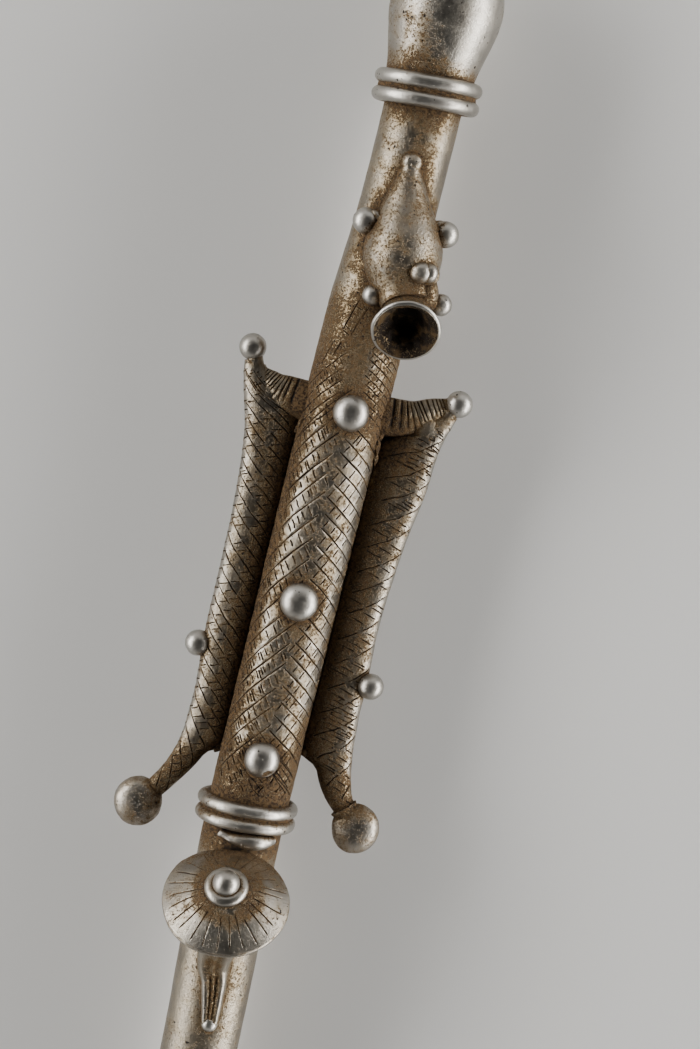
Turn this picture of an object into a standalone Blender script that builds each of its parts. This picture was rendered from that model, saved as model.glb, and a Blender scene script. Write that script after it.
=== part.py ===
"""A ceremonial staff, cast in one piece and lying on its back. Metres, +Z up, knob towards +Y."""
import math

import bmesh
import bpy
from mathutils import Matrix, Vector

# Driving dimensions, in metres. A station is a distance down the staff from the middle of the upper collar.
STAFF_LENGTH = 0.950
REST_DROP = 0.0183  # from the shaft's middle line down to the flat spots that the staff lies on

SHAFT_RADIUS = 0.01305  # above the carved stretch
CARVED_RADIUS = 0.0141
NECK_RADIUS = 0.0135  # under the lower collar
LOWER_RADIUS = 0.0122
CARVED_START = 0.076
CARVED_END = 0.231
BEND_STATION = 0.262  # the shaft turns a little to the right here
BEND_SWAY = 0.0035
BEND_LENGTH = 0.073
CARVED_SWAY = 0.0010  # the carved stretch bows this far to the left

KNOB_RADIUS = 0.0190
KNOB_WAIST_RADIUS = 0.0146
KNOB_HEIGHT = 0.0455
KNOB_LEAN = 0.0008
FINIAL_RADIUS = 0.0056

UPPER_COLLAR_RADIUS = 0.0182
UPPER_RING_THICKNESS = 0.0047
UPPER_RING_GAP = 0.0010
LOWER_COLLAR_RADIUS = 0.0174
LOWER_COLLAR_STATION = 0.2504
LOWER_RING_THICKNESS = 0.0040
LOWER_RING_GAP = 0.0012
COLLAR_TILT = math.radians(3.4)
HALF_RING_RADIUS = 0.0022

ANIMAL_STATION = 0.0240
ANIMAL_SIDE = 0.0010
ANIMAL_LENGTH = 0.0455
ANIMAL_RADIUS = 0.0132
ANIMAL_TIP_RADIUS = 0.0033
SHOULDER_BALL_RADIUS = 0.0042
HIP_BALL_RADIUS = 0.0034
BROW_BALL_RADIUS = 0.0037

CUP_RADIUS = 0.0116
CUP_LIP = 0.0009
CUP_WALL = 0.0014
CUP_DEPTH = 0.0095
CUP_REACH = 0.0280  # from the shaft's middle line out to the middle of the mouth
CUP_PITCH = math.radians(32.5)
CUP_YAW = math.radians(15.0)
CUP_DROP = 0.0021  # the mouth's middle sits this far below the throat's own line

BOSS_STATIONS = (0.1088, 0.1745, 0.2296)
BOSS_SIDE_STEPS = (0.0015, 0.0, 0.0007)
BOSS_RADIUS = 0.0060
BOSS_SEAT = 0.0006  # how far a stud's middle sits under the shaft's face

LEFT_WING_START = 0.1010  # where each wing's own bar begins, under its top ball
LEFT_WING_LENGTH = 0.1510
RIGHT_WING_START = 0.1030
RIGHT_WING_LENGTH = 0.1400
WING_SPREAD = 0.0360  # from the middle line out to the balls at the top
WING_HALF_WIDTH = 0.0072
WING_THICKNESS = 0.0096
WING_EDGE_THICKNESS = 0.0006
WEB_THICKNESS = 0.0020  # where the wing meets the side of the shaft
LEFT_WEB_START = 0.0060  # the web's ends, down from where the wing begins
LEFT_WEB_END = 0.1255
RIGHT_WEB_START = 0.0070
RIGHT_WEB_END = 0.1195
WEB_FADE = 0.0085
WEB_SEAT = 0.0004  # how deep the web's edge sits in the shaft
FLAP_RADIUS = 0.0074
FLAP_FLATNESS = 0.70
FLAP_DROP = 0.0092
FLAP_LIFT = 0.0012
WING_TOP_BALL_RADIUS = 0.0046
TOP_BALL_RISE = 0.0048  # above where the wing begins
WING_SIDE_BALL_RADIUS = 0.0045
SIDE_BALL_STATION = 0.1983
SIDE_BALL_STEP = 0.0014  # out from the wing's edge to the ball's middle
END_DISC_RADIUS = 0.0087
END_DISC_THICKNESS = 0.0100
END_DISC_SPREAD = 0.0372
END_DISC_STEP = 0.0045  # down from the wing's end to the disc's middle

SHADE_STATION = 0.2767
SHADE_SIDE = 0.0011
SHADE_REACH = 0.0280  # from the shaft's middle line out to the middle of the shade's rim
SHADE_RADIUS = 0.0210
SHADE_HEIGHT = 0.0110
SHADE_ROUNDNESS = 1.5
SHADE_EDGE = 0.0020
SHADE_PITCH = math.radians(44.5)
SHADE_YAW = math.radians(11.0)
SHADE_RING_RADIUS = 0.0061
SHADE_RING_THICKNESS = 0.0031
SHADE_BALL_RADIUS = 0.0049
SHADE_BALL_LIFT = 0.0032
SHADE_RAYS = 28
RAY_DEPTH = 0.0005
HORN_STATION = 0.3220
HORN_RADIUS = 0.0064
HORN_SIDE = 0.0051
HORN_LIFT = 0.0020
HORN_TIP_BALL_RADIUS = 0.0027

FOOT_RADIUS = 0.0189
FOOT_HEIGHT = 0.048
FOOT_END_RADIUS = 0.0095
FOOT_RING_RADIUS = 0.0157
FOOT_RING_THICKNESS = 0.0046

SHAFT_SIDES = 24
MERGE = 0.00001
CUT_CLEARANCE = 0.004  # how far a cutter stands out of the face that it opens
UP_THE_STAFF = Matrix.Rotation(-math.pi / 2, 4, "X")  # turns +Z to +Y

CROWN_HEIGHT = UPPER_RING_THICKNESS + KNOB_HEIGHT
TOP_HEIGHT = CROWN_HEIGHT + 1.7 * FINIAL_RADIUS
FOOT_STATION = STAFF_LENGTH - TOP_HEIGHT


def shaft_course():
    """Rows of station, shaft radius and sway to the right."""
    return (
        (-UPPER_RING_THICKNESS, SHAFT_RADIUS, 0.0),
        (CARVED_START / 2, SHAFT_RADIUS, 0.0),
        (0.80 * CARVED_START, 0.97 * CARVED_RADIUS, -0.6 * CARVED_SWAY),
        (CARVED_START, CARVED_RADIUS, -0.9 * CARVED_SWAY),
        (0.65 * CARVED_START + 0.35 * CARVED_END, CARVED_RADIUS, -CARVED_SWAY),
        (0.26 * CARVED_START + 0.74 * CARVED_END, 0.986 * CARVED_RADIUS, -0.7 * CARVED_SWAY),
        (CARVED_END, 1.015 * NECK_RADIUS, -0.5 * CARVED_SWAY),
        (BEND_STATION, NECK_RADIUS, -0.1 * CARVED_SWAY),
        (BEND_STATION + BEND_LENGTH / 2, NECK_RADIUS, 0.5 * BEND_SWAY),
        (BEND_STATION + BEND_LENGTH, 0.97 * NECK_RADIUS, BEND_SWAY),
        (BEND_STATION + 2 * BEND_LENGTH, 0.948 * NECK_RADIUS, 1.35 * BEND_SWAY),
        (0.45 * BEND_STATION + 0.55 * FOOT_STATION, 1.025 * LOWER_RADIUS, BEND_SWAY),
        (FOOT_STATION - 0.6 * FOOT_HEIGHT, LOWER_RADIUS, 0.3 * BEND_SWAY),
    )


def read_course(rows, station):
    """Reads a smooth curve through rows of (station, value, value ...)."""
    last = len(rows) - 1
    index = 0
    while index < last - 1 and station > rows[index + 1][0]:
        index += 1
    span = rows[index + 1][0] - rows[index][0]
    share = min(max((station - rows[index][0]) / span, 0.0), 1.0)
    values = []
    for column in range(1, len(rows[0])):
        slopes = []
        for here in (index, index + 1):
            before = rows[max(here - 1, 0)]
            after = rows[min(here + 1, last)]
            slopes.append((after[column] - before[column]) / (after[0] - before[0]))
        start = rows[index][column]
        end = rows[index + 1][column]
        rise = share * share * (3 - 2 * share)
        bow_in = share * (1 - share) ** 2
        bow_out = share * share * (share - 1)
        values.append(start + (end - start) * rise + span * (slopes[0] * bow_in + slopes[1] * bow_out))
    return values


def shaft_radius(station):
    return read_course(shaft_course(), station)[0]


def shaft_sway(station):
    return read_course(shaft_course(), station)[1]


def clear_scene():
    for thing in list(bpy.data.objects):
        bpy.data.objects.remove(thing, do_unlink=True)


def new_collection(name):
    found = bpy.data.collections.new(name)
    bpy.context.scene.collection.children.link(found)
    return found


def cast_metal():
    """Grey cast metal, a little warm, with dull skin."""
    material = bpy.data.materials.new("cast_metal")
    material.use_nodes = True
    shader = material.node_tree.nodes["Principled BSDF"]
    shader.inputs["Base Color"].default_value = (0.44, 0.41, 0.37, 1.0)
    shader.inputs["Metallic"].default_value = 1.0
    shader.inputs["Roughness"].default_value = 0.38
    return material


def add_object(name, mesh, collection, origin, is_helper=True):
    thing = bpy.data.objects.new(name, mesh)
    collection.objects.link(thing)
    thing.parent = origin
    if is_helper:
        thing.hide_render = True
        thing.display_type = "WIRE"
    return thing


def shade_round(mesh):
    mesh.shade_smooth()
    mesh.set_sharp_from_angle(angle=math.radians(50))


def tube_mesh(name, points, radii, sides, flatten=1.0):
    """A closed round bar along points, with a radius at each, flattened in Z about its first point."""
    curve = bpy.data.curves.new(name, "CURVE")
    curve.dimensions = "3D"
    curve.bevel_depth = 1.0
    curve.bevel_resolution = (sides - 4) // 2
    curve.use_fill_caps = True
    spline = curve.splines.new("POLY")
    spline.points.add(len(points) - 1)
    for index, (point, radius) in enumerate(zip(points, radii)):
        spline.points[index].co = (*point, 1.0)
        spline.points[index].radius = radius
    guide = bpy.data.objects.new(name + "_guide", curve)
    bpy.context.scene.collection.objects.link(guide)
    graph = bpy.context.evaluated_depsgraph_get()
    mesh = bpy.data.meshes.new_from_object(guide.evaluated_get(graph))
    mesh.name = name
    bpy.data.objects.remove(guide, do_unlink=True)
    bpy.data.curves.remove(curve)
    level = points[0][2]
    squeeze = Matrix.Translation((0, 0, level)) @ Matrix.Scale(flatten, 4, (0, 0, 1))
    mesh.transform(squeeze @ Matrix.Translation((0, 0, -level)))
    work = bmesh.new()
    work.from_mesh(mesh)
    bmesh.ops.remove_doubles(work, verts=work.verts, dist=MERGE)
    bmesh.ops.recalc_face_normals(work, faces=work.faces)
    work.to_mesh(mesh)
    work.free()
    shade_round(mesh)
    return mesh


def smooth_tube(name, points, radii, sides, steps, flatten=1.0):
    """The same bar, read at even steps from a smooth curve through the points."""
    rows = [(index, *point, radius) for index, (point, radius) in enumerate(zip(points, radii))]
    places = [(len(points) - 1) * step / steps for step in range(steps + 1)]
    reads = [read_course(rows, place) for place in places]
    return tube_mesh(name, [Vector(r[:3]) for r in reads], [r[3] for r in reads], sides, flatten)


def loft_mesh(name, rings):
    """A closed body through rings of points that all have the same count."""
    work = bmesh.new()
    rows = [[work.verts.new(point) for point in ring] for ring in rings]
    for first, second in zip(rows, rows[1:]):
        for index in range(len(first)):
            after = (index + 1) % len(first)
            work.faces.new((first[index], first[after], second[after], second[index]))
    work.faces.new(rows[0])
    work.faces.new(rows[-1])
    bmesh.ops.remove_doubles(work, verts=work.verts, dist=MERGE)
    bmesh.ops.recalc_face_normals(work, faces=work.faces)
    mesh = bpy.data.meshes.new(name)
    work.to_mesh(mesh)
    work.free()
    shade_round(mesh)
    return mesh


def ball_mesh(name, centre, radius, segments, stretch=(1.0, 1.0, 1.0), turn=0.0):
    mesh = bpy.data.meshes.new(name)
    work = bmesh.new()
    place = Matrix.Translation(centre) @ Matrix.Rotation(turn, 4, "Z") @ Matrix.Diagonal((*stretch, 1.0))
    rings = max(segments // 2 + 1, 5)
    bmesh.ops.create_uvsphere(work, u_segments=segments, v_segments=rings, radius=radius, matrix=place)
    work.to_mesh(mesh)
    work.free()
    shade_round(mesh)
    return mesh


def turned_mesh(name, profile, steps):
    """Turns rows of (radius, height), given top to bottom down the outer side, about Z."""
    outline = bpy.data.meshes.new(name + "_outline")
    corners = [(radius, 0.0, height) for radius, height in profile]
    outline.from_pydata(corners, [(i, i + 1) for i in range(len(corners) - 1)], [])
    guide = bpy.data.objects.new(name + "_guide", outline)
    bpy.context.scene.collection.objects.link(guide)
    screw = guide.modifiers.new("turn", "SCREW")
    screw.axis = "Z"
    screw.angle = 2 * math.pi
    screw.steps = steps
    screw.render_steps = steps
    screw.use_merge_vertices = True
    screw.merge_threshold = MERGE
    graph = bpy.context.evaluated_depsgraph_get()
    mesh = bpy.data.meshes.new_from_object(guide.evaluated_get(graph))
    mesh.name = name
    bpy.data.objects.remove(guide, do_unlink=True)
    bpy.data.meshes.remove(outline)
    shade_round(mesh)
    return mesh


def add_turned(name, profile, steps, place, collection, origin):
    """Turns a profile and stands it at a place."""
    mesh = turned_mesh(name, profile, steps)
    mesh.transform(place)
    return add_object(name, mesh, collection, origin)


def arc_rows(middle_radius, middle_height, radius, start, end, count):
    """Rows of (radius, height) along an arc, its angles in degrees from straight out."""
    rows = []
    for step in range(count + 1):
        angle = math.radians(start + (end - start) * step / count)
        rows.append((middle_radius + radius * math.cos(angle), middle_height + radius * math.sin(angle)))
    return rows


def place_at(x, station, height):
    return Vector((x, -station, height))


def bead_rows(outer_radius, middle, thickness):
    """The outer side of one round ring of a collar."""
    bulge = thickness / 2
    return arc_rows(outer_radius - bulge, middle, bulge, 80, -80, 4)


def add_upper_collar(collection, origin):
    """Two round rings with a narrow gap between them."""
    half = (UPPER_RING_THICKNESS + UPPER_RING_GAP) / 2
    top = half + 0.45 * UPPER_RING_THICKNESS
    core = SHAFT_RADIUS * 0.6
    profile = [(0.0, top), (core, top)]
    profile += bead_rows(UPPER_COLLAR_RADIUS, half, UPPER_RING_THICKNESS)
    profile += bead_rows(UPPER_COLLAR_RADIUS, -half, UPPER_RING_THICKNESS)
    profile += [(core, -top), (0.0, -top)]
    place = Matrix.Rotation(COLLAR_TILT, 4, "Z") @ UP_THE_STAFF
    add_turned("upper_collar", profile, SHAFT_SIDES, place, collection, origin)


def add_lower_collar(collection, origin):
    """Two round rings, and a third that only crosses the front."""
    half = (LOWER_RING_THICKNESS + LOWER_RING_GAP) / 2
    top = half + 0.45 * LOWER_RING_THICKNESS
    core = NECK_RADIUS * 0.6
    profile = [(0.0, top), (core, top)]
    profile += bead_rows(LOWER_COLLAR_RADIUS, half, LOWER_RING_THICKNESS)
    profile += bead_rows(LOWER_COLLAR_RADIUS, -half, LOWER_RING_THICKNESS)
    profile += [(core, -top), (0.0, -top)]
    middle = place_at(shaft_sway(LOWER_COLLAR_STATION), LOWER_COLLAR_STATION, 0.0)
    place = Matrix.Translation(middle) @ Matrix.Rotation(COLLAR_TILT, 4, "Z") @ UP_THE_STAFF
    add_turned("lower_collar", profile, SHAFT_SIDES, place, collection, origin)

    station = LOWER_COLLAR_STATION + top + 0.95 * HALF_RING_RADIUS
    round_radius = shaft_radius(station) + 0.4 * HALF_RING_RADIUS
    points = []
    radii = []
    for step in range(8):
        share = step / 7
        angle = math.radians(-28 + 78 * share)
        side = shaft_sway(station) + round_radius * math.sin(angle)
        drop = 0.55 * HALF_RING_RADIUS * math.cos(math.pi * (share - 0.4))
        points.append(place_at(side, station + drop, round_radius * math.cos(angle)))
        swell = math.sin(math.pi * min(max(share, 0.05), 0.97) ** 1.5)
        radii.append(HALF_RING_RADIUS * (0.45 + 0.55 * swell))
    add_object("half_ring", tube_mesh("half_ring", points, radii, 8), collection, origin)


def add_knob(collection, origin):
    """The head: a swelling bulb that closes in a dome under a small ball."""
    base = 0.45 * UPPER_RING_THICKNESS
    equator = base + 0.58 * KNOB_HEIGHT
    dome = CROWN_HEIGHT - equator
    profile = [(0.0, CROWN_HEIGHT)]
    for step in range(1, 6):
        angle = math.radians(90 - 90 * step / 5)
        profile.append((KNOB_RADIUS * math.cos(angle), equator + dome * math.sin(angle)))
    rows = (
        (0.0, KNOB_RADIUS),
        (0.20, 0.974 * KNOB_RADIUS),
        (0.50, 0.884 * KNOB_RADIUS),
        (0.75, 1.048 * KNOB_WAIST_RADIUS),
        (0.92, KNOB_WAIST_RADIUS),
        (1.0, 1.014 * KNOB_WAIST_RADIUS),
    )
    for step in range(1, 6):
        share = step / 5
        profile.append((read_course(rows, share)[0], equator + (base - equator) * share))
    profile.append((0.0, base))
    place = Matrix.Translation((-KNOB_LEAN / 2, 0, 0)) @ UP_THE_STAFF
    add_turned("knob", profile, SHAFT_SIDES, place, collection, origin)
    middle = place_at(-KNOB_LEAN / 2, -(TOP_HEIGHT - FINIAL_RADIUS), 0.0)
    add_object("finial", ball_mesh("finial", middle, FINIAL_RADIUS, 12), collection, origin)


def add_foot(collection, origin):
    """A plain ring and a plain bulb with a flat end, in keeping with the head."""
    swell = 0.46 * FOOT_HEIGHT
    top = FOOT_HEIGHT + 0.45 * FOOT_RING_THICKNESS
    profile = [(0.0, top), (0.6 * LOWER_RADIUS, top)]
    profile += bead_rows(FOOT_RING_RADIUS, FOOT_HEIGHT, FOOT_RING_THICKNESS)
    rows = (
        (0.0, 1.10 * LOWER_RADIUS),
        (0.25, 1.23 * LOWER_RADIUS),
        (0.55, 0.926 * FOOT_RADIUS),
        (0.80, 0.99 * FOOT_RADIUS),
        (1.0, FOOT_RADIUS),
    )
    start = FOOT_HEIGHT - 0.55 * FOOT_RING_THICKNESS
    for step in range(5):
        share = step / 4
        profile.append((read_course(rows, share)[0], start + (swell - start) * share))
    curl = math.radians(62)
    for step in range(1, 4):
        angle = curl * step / 3
        lower = swell * (1 - math.sin(angle) / math.sin(curl))
        ease = (1 - math.cos(angle)) / (1 - math.cos(curl))
        profile.append((FOOT_RADIUS + (FOOT_END_RADIUS - FOOT_RADIUS) * ease, lower))
    profile.append((0.0, 0.0))
    place = Matrix.Translation(place_at(0.3 * BEND_SWAY, FOOT_STATION, 0.0)) @ UP_THE_STAFF
    add_turned("foot", profile, SHAFT_SIDES, place, collection, origin)


def animal_rows():
    """Rows of place, side step and lift as shares of the animal's length, and of its share of radius."""
    return (
        (0.00, 0.000, 0.000, 0.20),
        (0.13, 0.012, -0.020, 0.38),
        (0.27, 0.030, -0.035, 0.58),
        (0.42, 0.055, -0.035, 0.80),
        (0.54, 0.075, -0.032, 0.945),
        (0.65, 0.095, -0.028, 1.00),
        (0.75, 0.115, -0.018, 0.965),
        (0.84, 0.140, 0.000, 0.85),
        (0.92, 0.172, 0.032, 0.71),
        (1.00, 0.207, 0.075, 0.61),
    )


def animal_point(share):
    """The middle of the animal's body and its radius, at a share of its length."""
    side, lift, radius = read_course(animal_rows(), share)
    station = ANIMAL_STATION + share * ANIMAL_LENGTH
    height = shaft_radius(station) + lift * ANIMAL_LENGTH
    return place_at(ANIMAL_SIDE + side * ANIMAL_LENGTH, station, height), radius * ANIMAL_RADIUS


def cup_place():
    """Where the middle of the cup's mouth lies, with its way out along its own +Z."""
    throat = animal_point(1.0)[0]
    turn = Matrix.Rotation(CUP_YAW, 4, "Z") @ Matrix.Rotation(CUP_PITCH, 4, "X")
    way_out = turn @ Vector((0, 0, 1))
    mouth = throat + way_out * ((CUP_REACH - throat.z) / way_out.z) + turn @ Vector((0, -CUP_DROP, 0))
    return Matrix.Translation(mouth) @ turn


def add_animal(collection, cutters, origin):
    """A horned body lying on the shaft, with four ball limbs, and a cup that opens out and down."""
    steps = 10
    reads = [animal_point(step / steps) for step in range(steps + 1)]
    body = tube_mesh("animal_body", [r[0] for r in reads], [r[1] for r in reads], 16)
    add_object("animal_body", body, collection, origin)
    tip = animal_point(0.0)[0]
    add_object("animal_tip", ball_mesh("animal_tip", tip, ANIMAL_TIP_RADIUS, 10), collection, origin)

    limbs = (
        ("left_shoulder", 0.41, -1, SHOULDER_BALL_RADIUS, 1.00, 0.04, 0.9),
        ("right_shoulder", 0.52, 1, SHOULDER_BALL_RADIUS, 0.93, -0.03, 0.9),
        ("left_hip", 0.93, -1, HIP_BALL_RADIUS * 0.92, 0.93, 0.02, 0.9),
        ("right_hip", 1.01, 1, HIP_BALL_RADIUS * 1.10, 1.19, -0.12, 1.2),
    )
    for name, share, side, ball, reach, lift, heft in limbs:
        root, radius = animal_point(share)
        out = Vector((math.cos(CUP_YAW), math.sin(CUP_YAW), 0)) * side
        centre = root + out * (radius * reach + ball * 0.55) + Vector((0, 0, lift * ANIMAL_LENGTH))
        add_object(name, ball_mesh(name, centre, ball, 10), collection, origin)
        inner = root + out * radius * 0.4 + Vector((0, 0.5 * heft * ball, 0.25 * heft * ball))
        bar = tube_mesh(name + "_peg", [inner, centre], [ball * heft, ball * 0.72], 8)
        add_object(name + "_peg", bar, collection, origin)

    brow, radius = animal_point(0.80)
    brow = brow + Vector((0.515 * ANIMAL_RADIUS, 0.136 * ANIMAL_RADIUS, 0.88 * radius))
    lump = ball_mesh("brow", brow, BROW_BALL_RADIUS, 10, (1.2, 0.86, 0.9), math.radians(-6))
    add_object("brow", lump, collection, origin)

    place = cup_place()
    back = -(CUP_REACH - animal_point(1.0)[0].z) / math.cos(CUP_PITCH)
    throat = 0.68 * CUP_RADIUS
    lip = CUP_RADIUS - CUP_LIP
    outer = arc_rows(lip, -CUP_LIP, CUP_LIP, 90, -60, 3)
    outer += [(0.90 * CUP_RADIUS, 0.20 * back), (0.76 * CUP_RADIUS, 0.42 * back)]
    outer += [(0.70 * CUP_RADIUS, 0.70 * back), (throat, back), (0.0, back)]
    add_turned("cup", [(0.0, 0.0)] + outer, 20, place, collection, origin)

    mouth = lip - 0.2 * CUP_LIP
    bore = [(0.0, CUT_CLEARANCE), (mouth, CUT_CLEARANCE), (mouth, 0.0)]
    bore += [(lip - CUP_WALL, -0.16 * CUP_DEPTH), (0.76 * CUP_RADIUS - CUP_WALL, -0.45 * CUP_DEPTH)]
    bore += [(0.60 * CUP_RADIUS - CUP_WALL, -0.80 * CUP_DEPTH), (0.36 * CUP_RADIUS, -CUP_DEPTH)]
    bore += [(0.0, -1.03 * CUP_DEPTH)]
    add_turned("cup_bore", bore, 20, place, cutters, origin)


def add_bosses(collection, origin):
    """Three domed studs down the front of the shaft."""
    for index, (station, side) in enumerate(zip(BOSS_STATIONS, BOSS_SIDE_STEPS)):
        name = "boss_%d" % (index + 1)
        middle = place_at(side, station, shaft_radius(station) - BOSS_SEAT)
        dome = ball_mesh(name, middle, BOSS_RADIUS, 12, (0.97, 1.0, 0.86))
        add_object(name, dome, collection, origin)


def wing_span(is_left):
    """The station where a wing's bar begins, and its length."""
    if is_left:
        return LEFT_WING_START, LEFT_WING_LENGTH
    return RIGHT_WING_START, RIGHT_WING_LENGTH


def wing_shape(is_left):
    """Rows of shares of the wing's length, of its spread out to the bar's middle, and of its half width."""
    if is_left:
        return (
            (0.000, 0.947, 0.50),
            (0.027, 0.889, 0.70),
            (0.053, 0.833, 0.83),
            (0.093, 0.761, 0.97),
            (0.139, 0.711, 0.97),
            (0.192, 0.678, 0.96),
            (0.272, 0.647, 0.96),
            (0.351, 0.628, 0.97),
            (0.430, 0.614, 1.00),
            (0.523, 0.608, 1.00),
            (0.623, 0.603, 1.00),
            (0.735, 0.581, 0.93),
            (0.815, 0.603, 0.85),
            (0.844, 0.622, 0.79),
            (0.881, 0.658, 0.72),
            (0.927, 0.739, 0.64),
            (0.970, 0.847, 0.60),
            (1.000, 0.933, 0.60),
        )
    return (
        (0.000, 0.919, 0.49),
        (0.021, 0.861, 0.67),
        (0.050, 0.800, 0.80),
        (0.086, 0.744, 0.93),
        (0.129, 0.728, 0.93),
        (0.193, 0.711, 0.96),
        (0.279, 0.664, 0.96),
        (0.386, 0.617, 0.99),
        (0.521, 0.586, 1.00),
        (0.657, 0.603, 1.00),
        (0.764, 0.617, 0.97),
        (0.836, 0.644, 0.93),
        (0.879, 0.675, 0.89),
        (0.921, 0.719, 0.83),
        (0.968, 0.806, 0.74),
        (1.000, 0.917, 0.72),
    )


def wing_rows(is_left):
    """Rows of station, distance out to the middle of the bar, and half its width."""
    start, length = wing_span(is_left)
    return [(start + along * length, out * WING_SPREAD, half * WING_HALF_WIDTH)
            for along, out, half in wing_shape(is_left)]


def flap_rows(is_left):
    """Rows of distance out, station, height and radius, from the wing's top in to the shaft."""
    start = wing_span(is_left)[0]
    tuck = 0.3 * CARVED_RADIUS / WING_SPREAD
    if is_left:
        shares = (
            (0.917, 0.22, 0.00, 0.30),
            (0.792, 0.57, 0.17, 0.60),
            (0.597, 0.87, 0.50, 0.88),
            (tuck, 1.00, 1.00, 1.00),
        )
    else:
        shares = (
            (0.931, -0.41, 0.00, 0.36),
            (0.764, 0.00, 0.17, 0.64),
            (0.556, 0.46, 0.50, 0.86),
            (tuck, 0.63, 1.00, 0.96),
        )
    return [(out * WING_SPREAD, start + drop * FLAP_DROP, lift * FLAP_LIFT, radius * FLAP_RADIUS)
            for out, drop, lift, radius in shares]


def wing_join(is_left, station):
    """1 where the wing runs into the side of the shaft, 0 where it stands clear."""
    start = wing_span(is_left)[0]
    web_start = start + (LEFT_WEB_START if is_left else RIGHT_WEB_START)
    web_end = start + (LEFT_WEB_END if is_left else RIGHT_WEB_END)
    rise = min(max((station - web_start) / WEB_FADE, 0.0), 1.0)
    fall = min(max((web_end + WEB_FADE - station) / WEB_FADE, 0.0), 1.0)
    share = min(rise, fall)
    return share * share * (3 - 2 * share)


def wing_section(is_left, station):
    """A ring of points: a round outer side, and an inner side that falls into a groove by the shaft."""
    side = -1 if is_left else 1
    rows = wing_rows(is_left)
    reach, half = read_course(rows, station)
    lift = half * WING_THICKNESS / (2 * WING_HALF_WIDTH)
    join = wing_join(is_left, station)
    shaft_side = shaft_radius(station) + side * shaft_sway(station)
    edge = (1 - join) * (reach - half) + join * (shaft_side - WEB_SEAT)
    rim = (WING_EDGE_THICKNESS + join * WEB_THICKNESS) / 2
    outer = []
    for step in range(7):
        angle = math.radians(30 * step - 90)
        outer.append((reach + half * math.cos(angle), lift * math.sin(angle)))
    inner = []
    for step in range(1, 4):
        angle = math.radians(30 * step)
        inner.append((reach - (reach - edge) * math.sin(angle), rim + (lift - rim) * math.cos(angle)))
    inner.append((edge - join * 0.5 * shaft_side, rim))
    ring = outer + inner + [(out, -height) for out, height in reversed(inner)]
    return [place_at(side * out, station, height) for out, height in ring]


def add_wing(is_left, collection, origin):
    """One side wing, its flap, its two balls and its end disc."""
    side = -1 if is_left else 1
    name = "left_" if is_left else "right_"
    rows = wing_rows(is_left)
    sections = [wing_section(is_left, row[0]) for row in rows]
    add_object(name + "wing", loft_mesh(name + "wing", sections), collection, origin)

    start, length = wing_span(is_left)
    top = place_at(side * WING_SPREAD, start - TOP_BALL_RISE, 0.0)
    ball = ball_mesh(name + "top_ball", top, WING_TOP_BALL_RADIUS, 12)
    add_object(name + "top_ball", ball, collection, origin)
    shoulder = place_at(side * rows[1][1], rows[1][0], 0.0)
    neck = tube_mesh(name + "neck", [top, shoulder], [0.6 * WING_TOP_BALL_RADIUS, 0.5 * rows[1][2]], 8)
    add_object(name + "neck", neck, collection, origin)

    reach, half = read_course(rows, SIDE_BALL_STATION)
    lift = (0.1 if is_left else 0.5) * WING_SIDE_BALL_RADIUS
    middle = place_at(side * (reach + half + SIDE_BALL_STEP), SIDE_BALL_STATION, lift)
    ball = ball_mesh(name + "side_ball", middle, WING_SIDE_BALL_RADIUS, 12)
    add_object(name + "side_ball", ball, collection, origin)

    end = place_at(side * END_DISC_SPREAD, start + length + END_DISC_STEP, 0.0)
    stretch = (0.94, 1.0, END_DISC_THICKNESS / (2 * END_DISC_RADIUS))
    disc = ball_mesh(name + "end_disc", end, END_DISC_RADIUS, 14, stretch)
    add_object(name + "end_disc", disc, collection, origin)

    rows = flap_rows(is_left)
    points = [place_at(side * out, station, height) for out, station, height, _ in rows]
    flap = smooth_tube(name + "flap", points, [row[3] for row in rows], 12, 5, FLAP_FLATNESS)
    add_object(name + "flap", flap, collection, origin)


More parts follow.
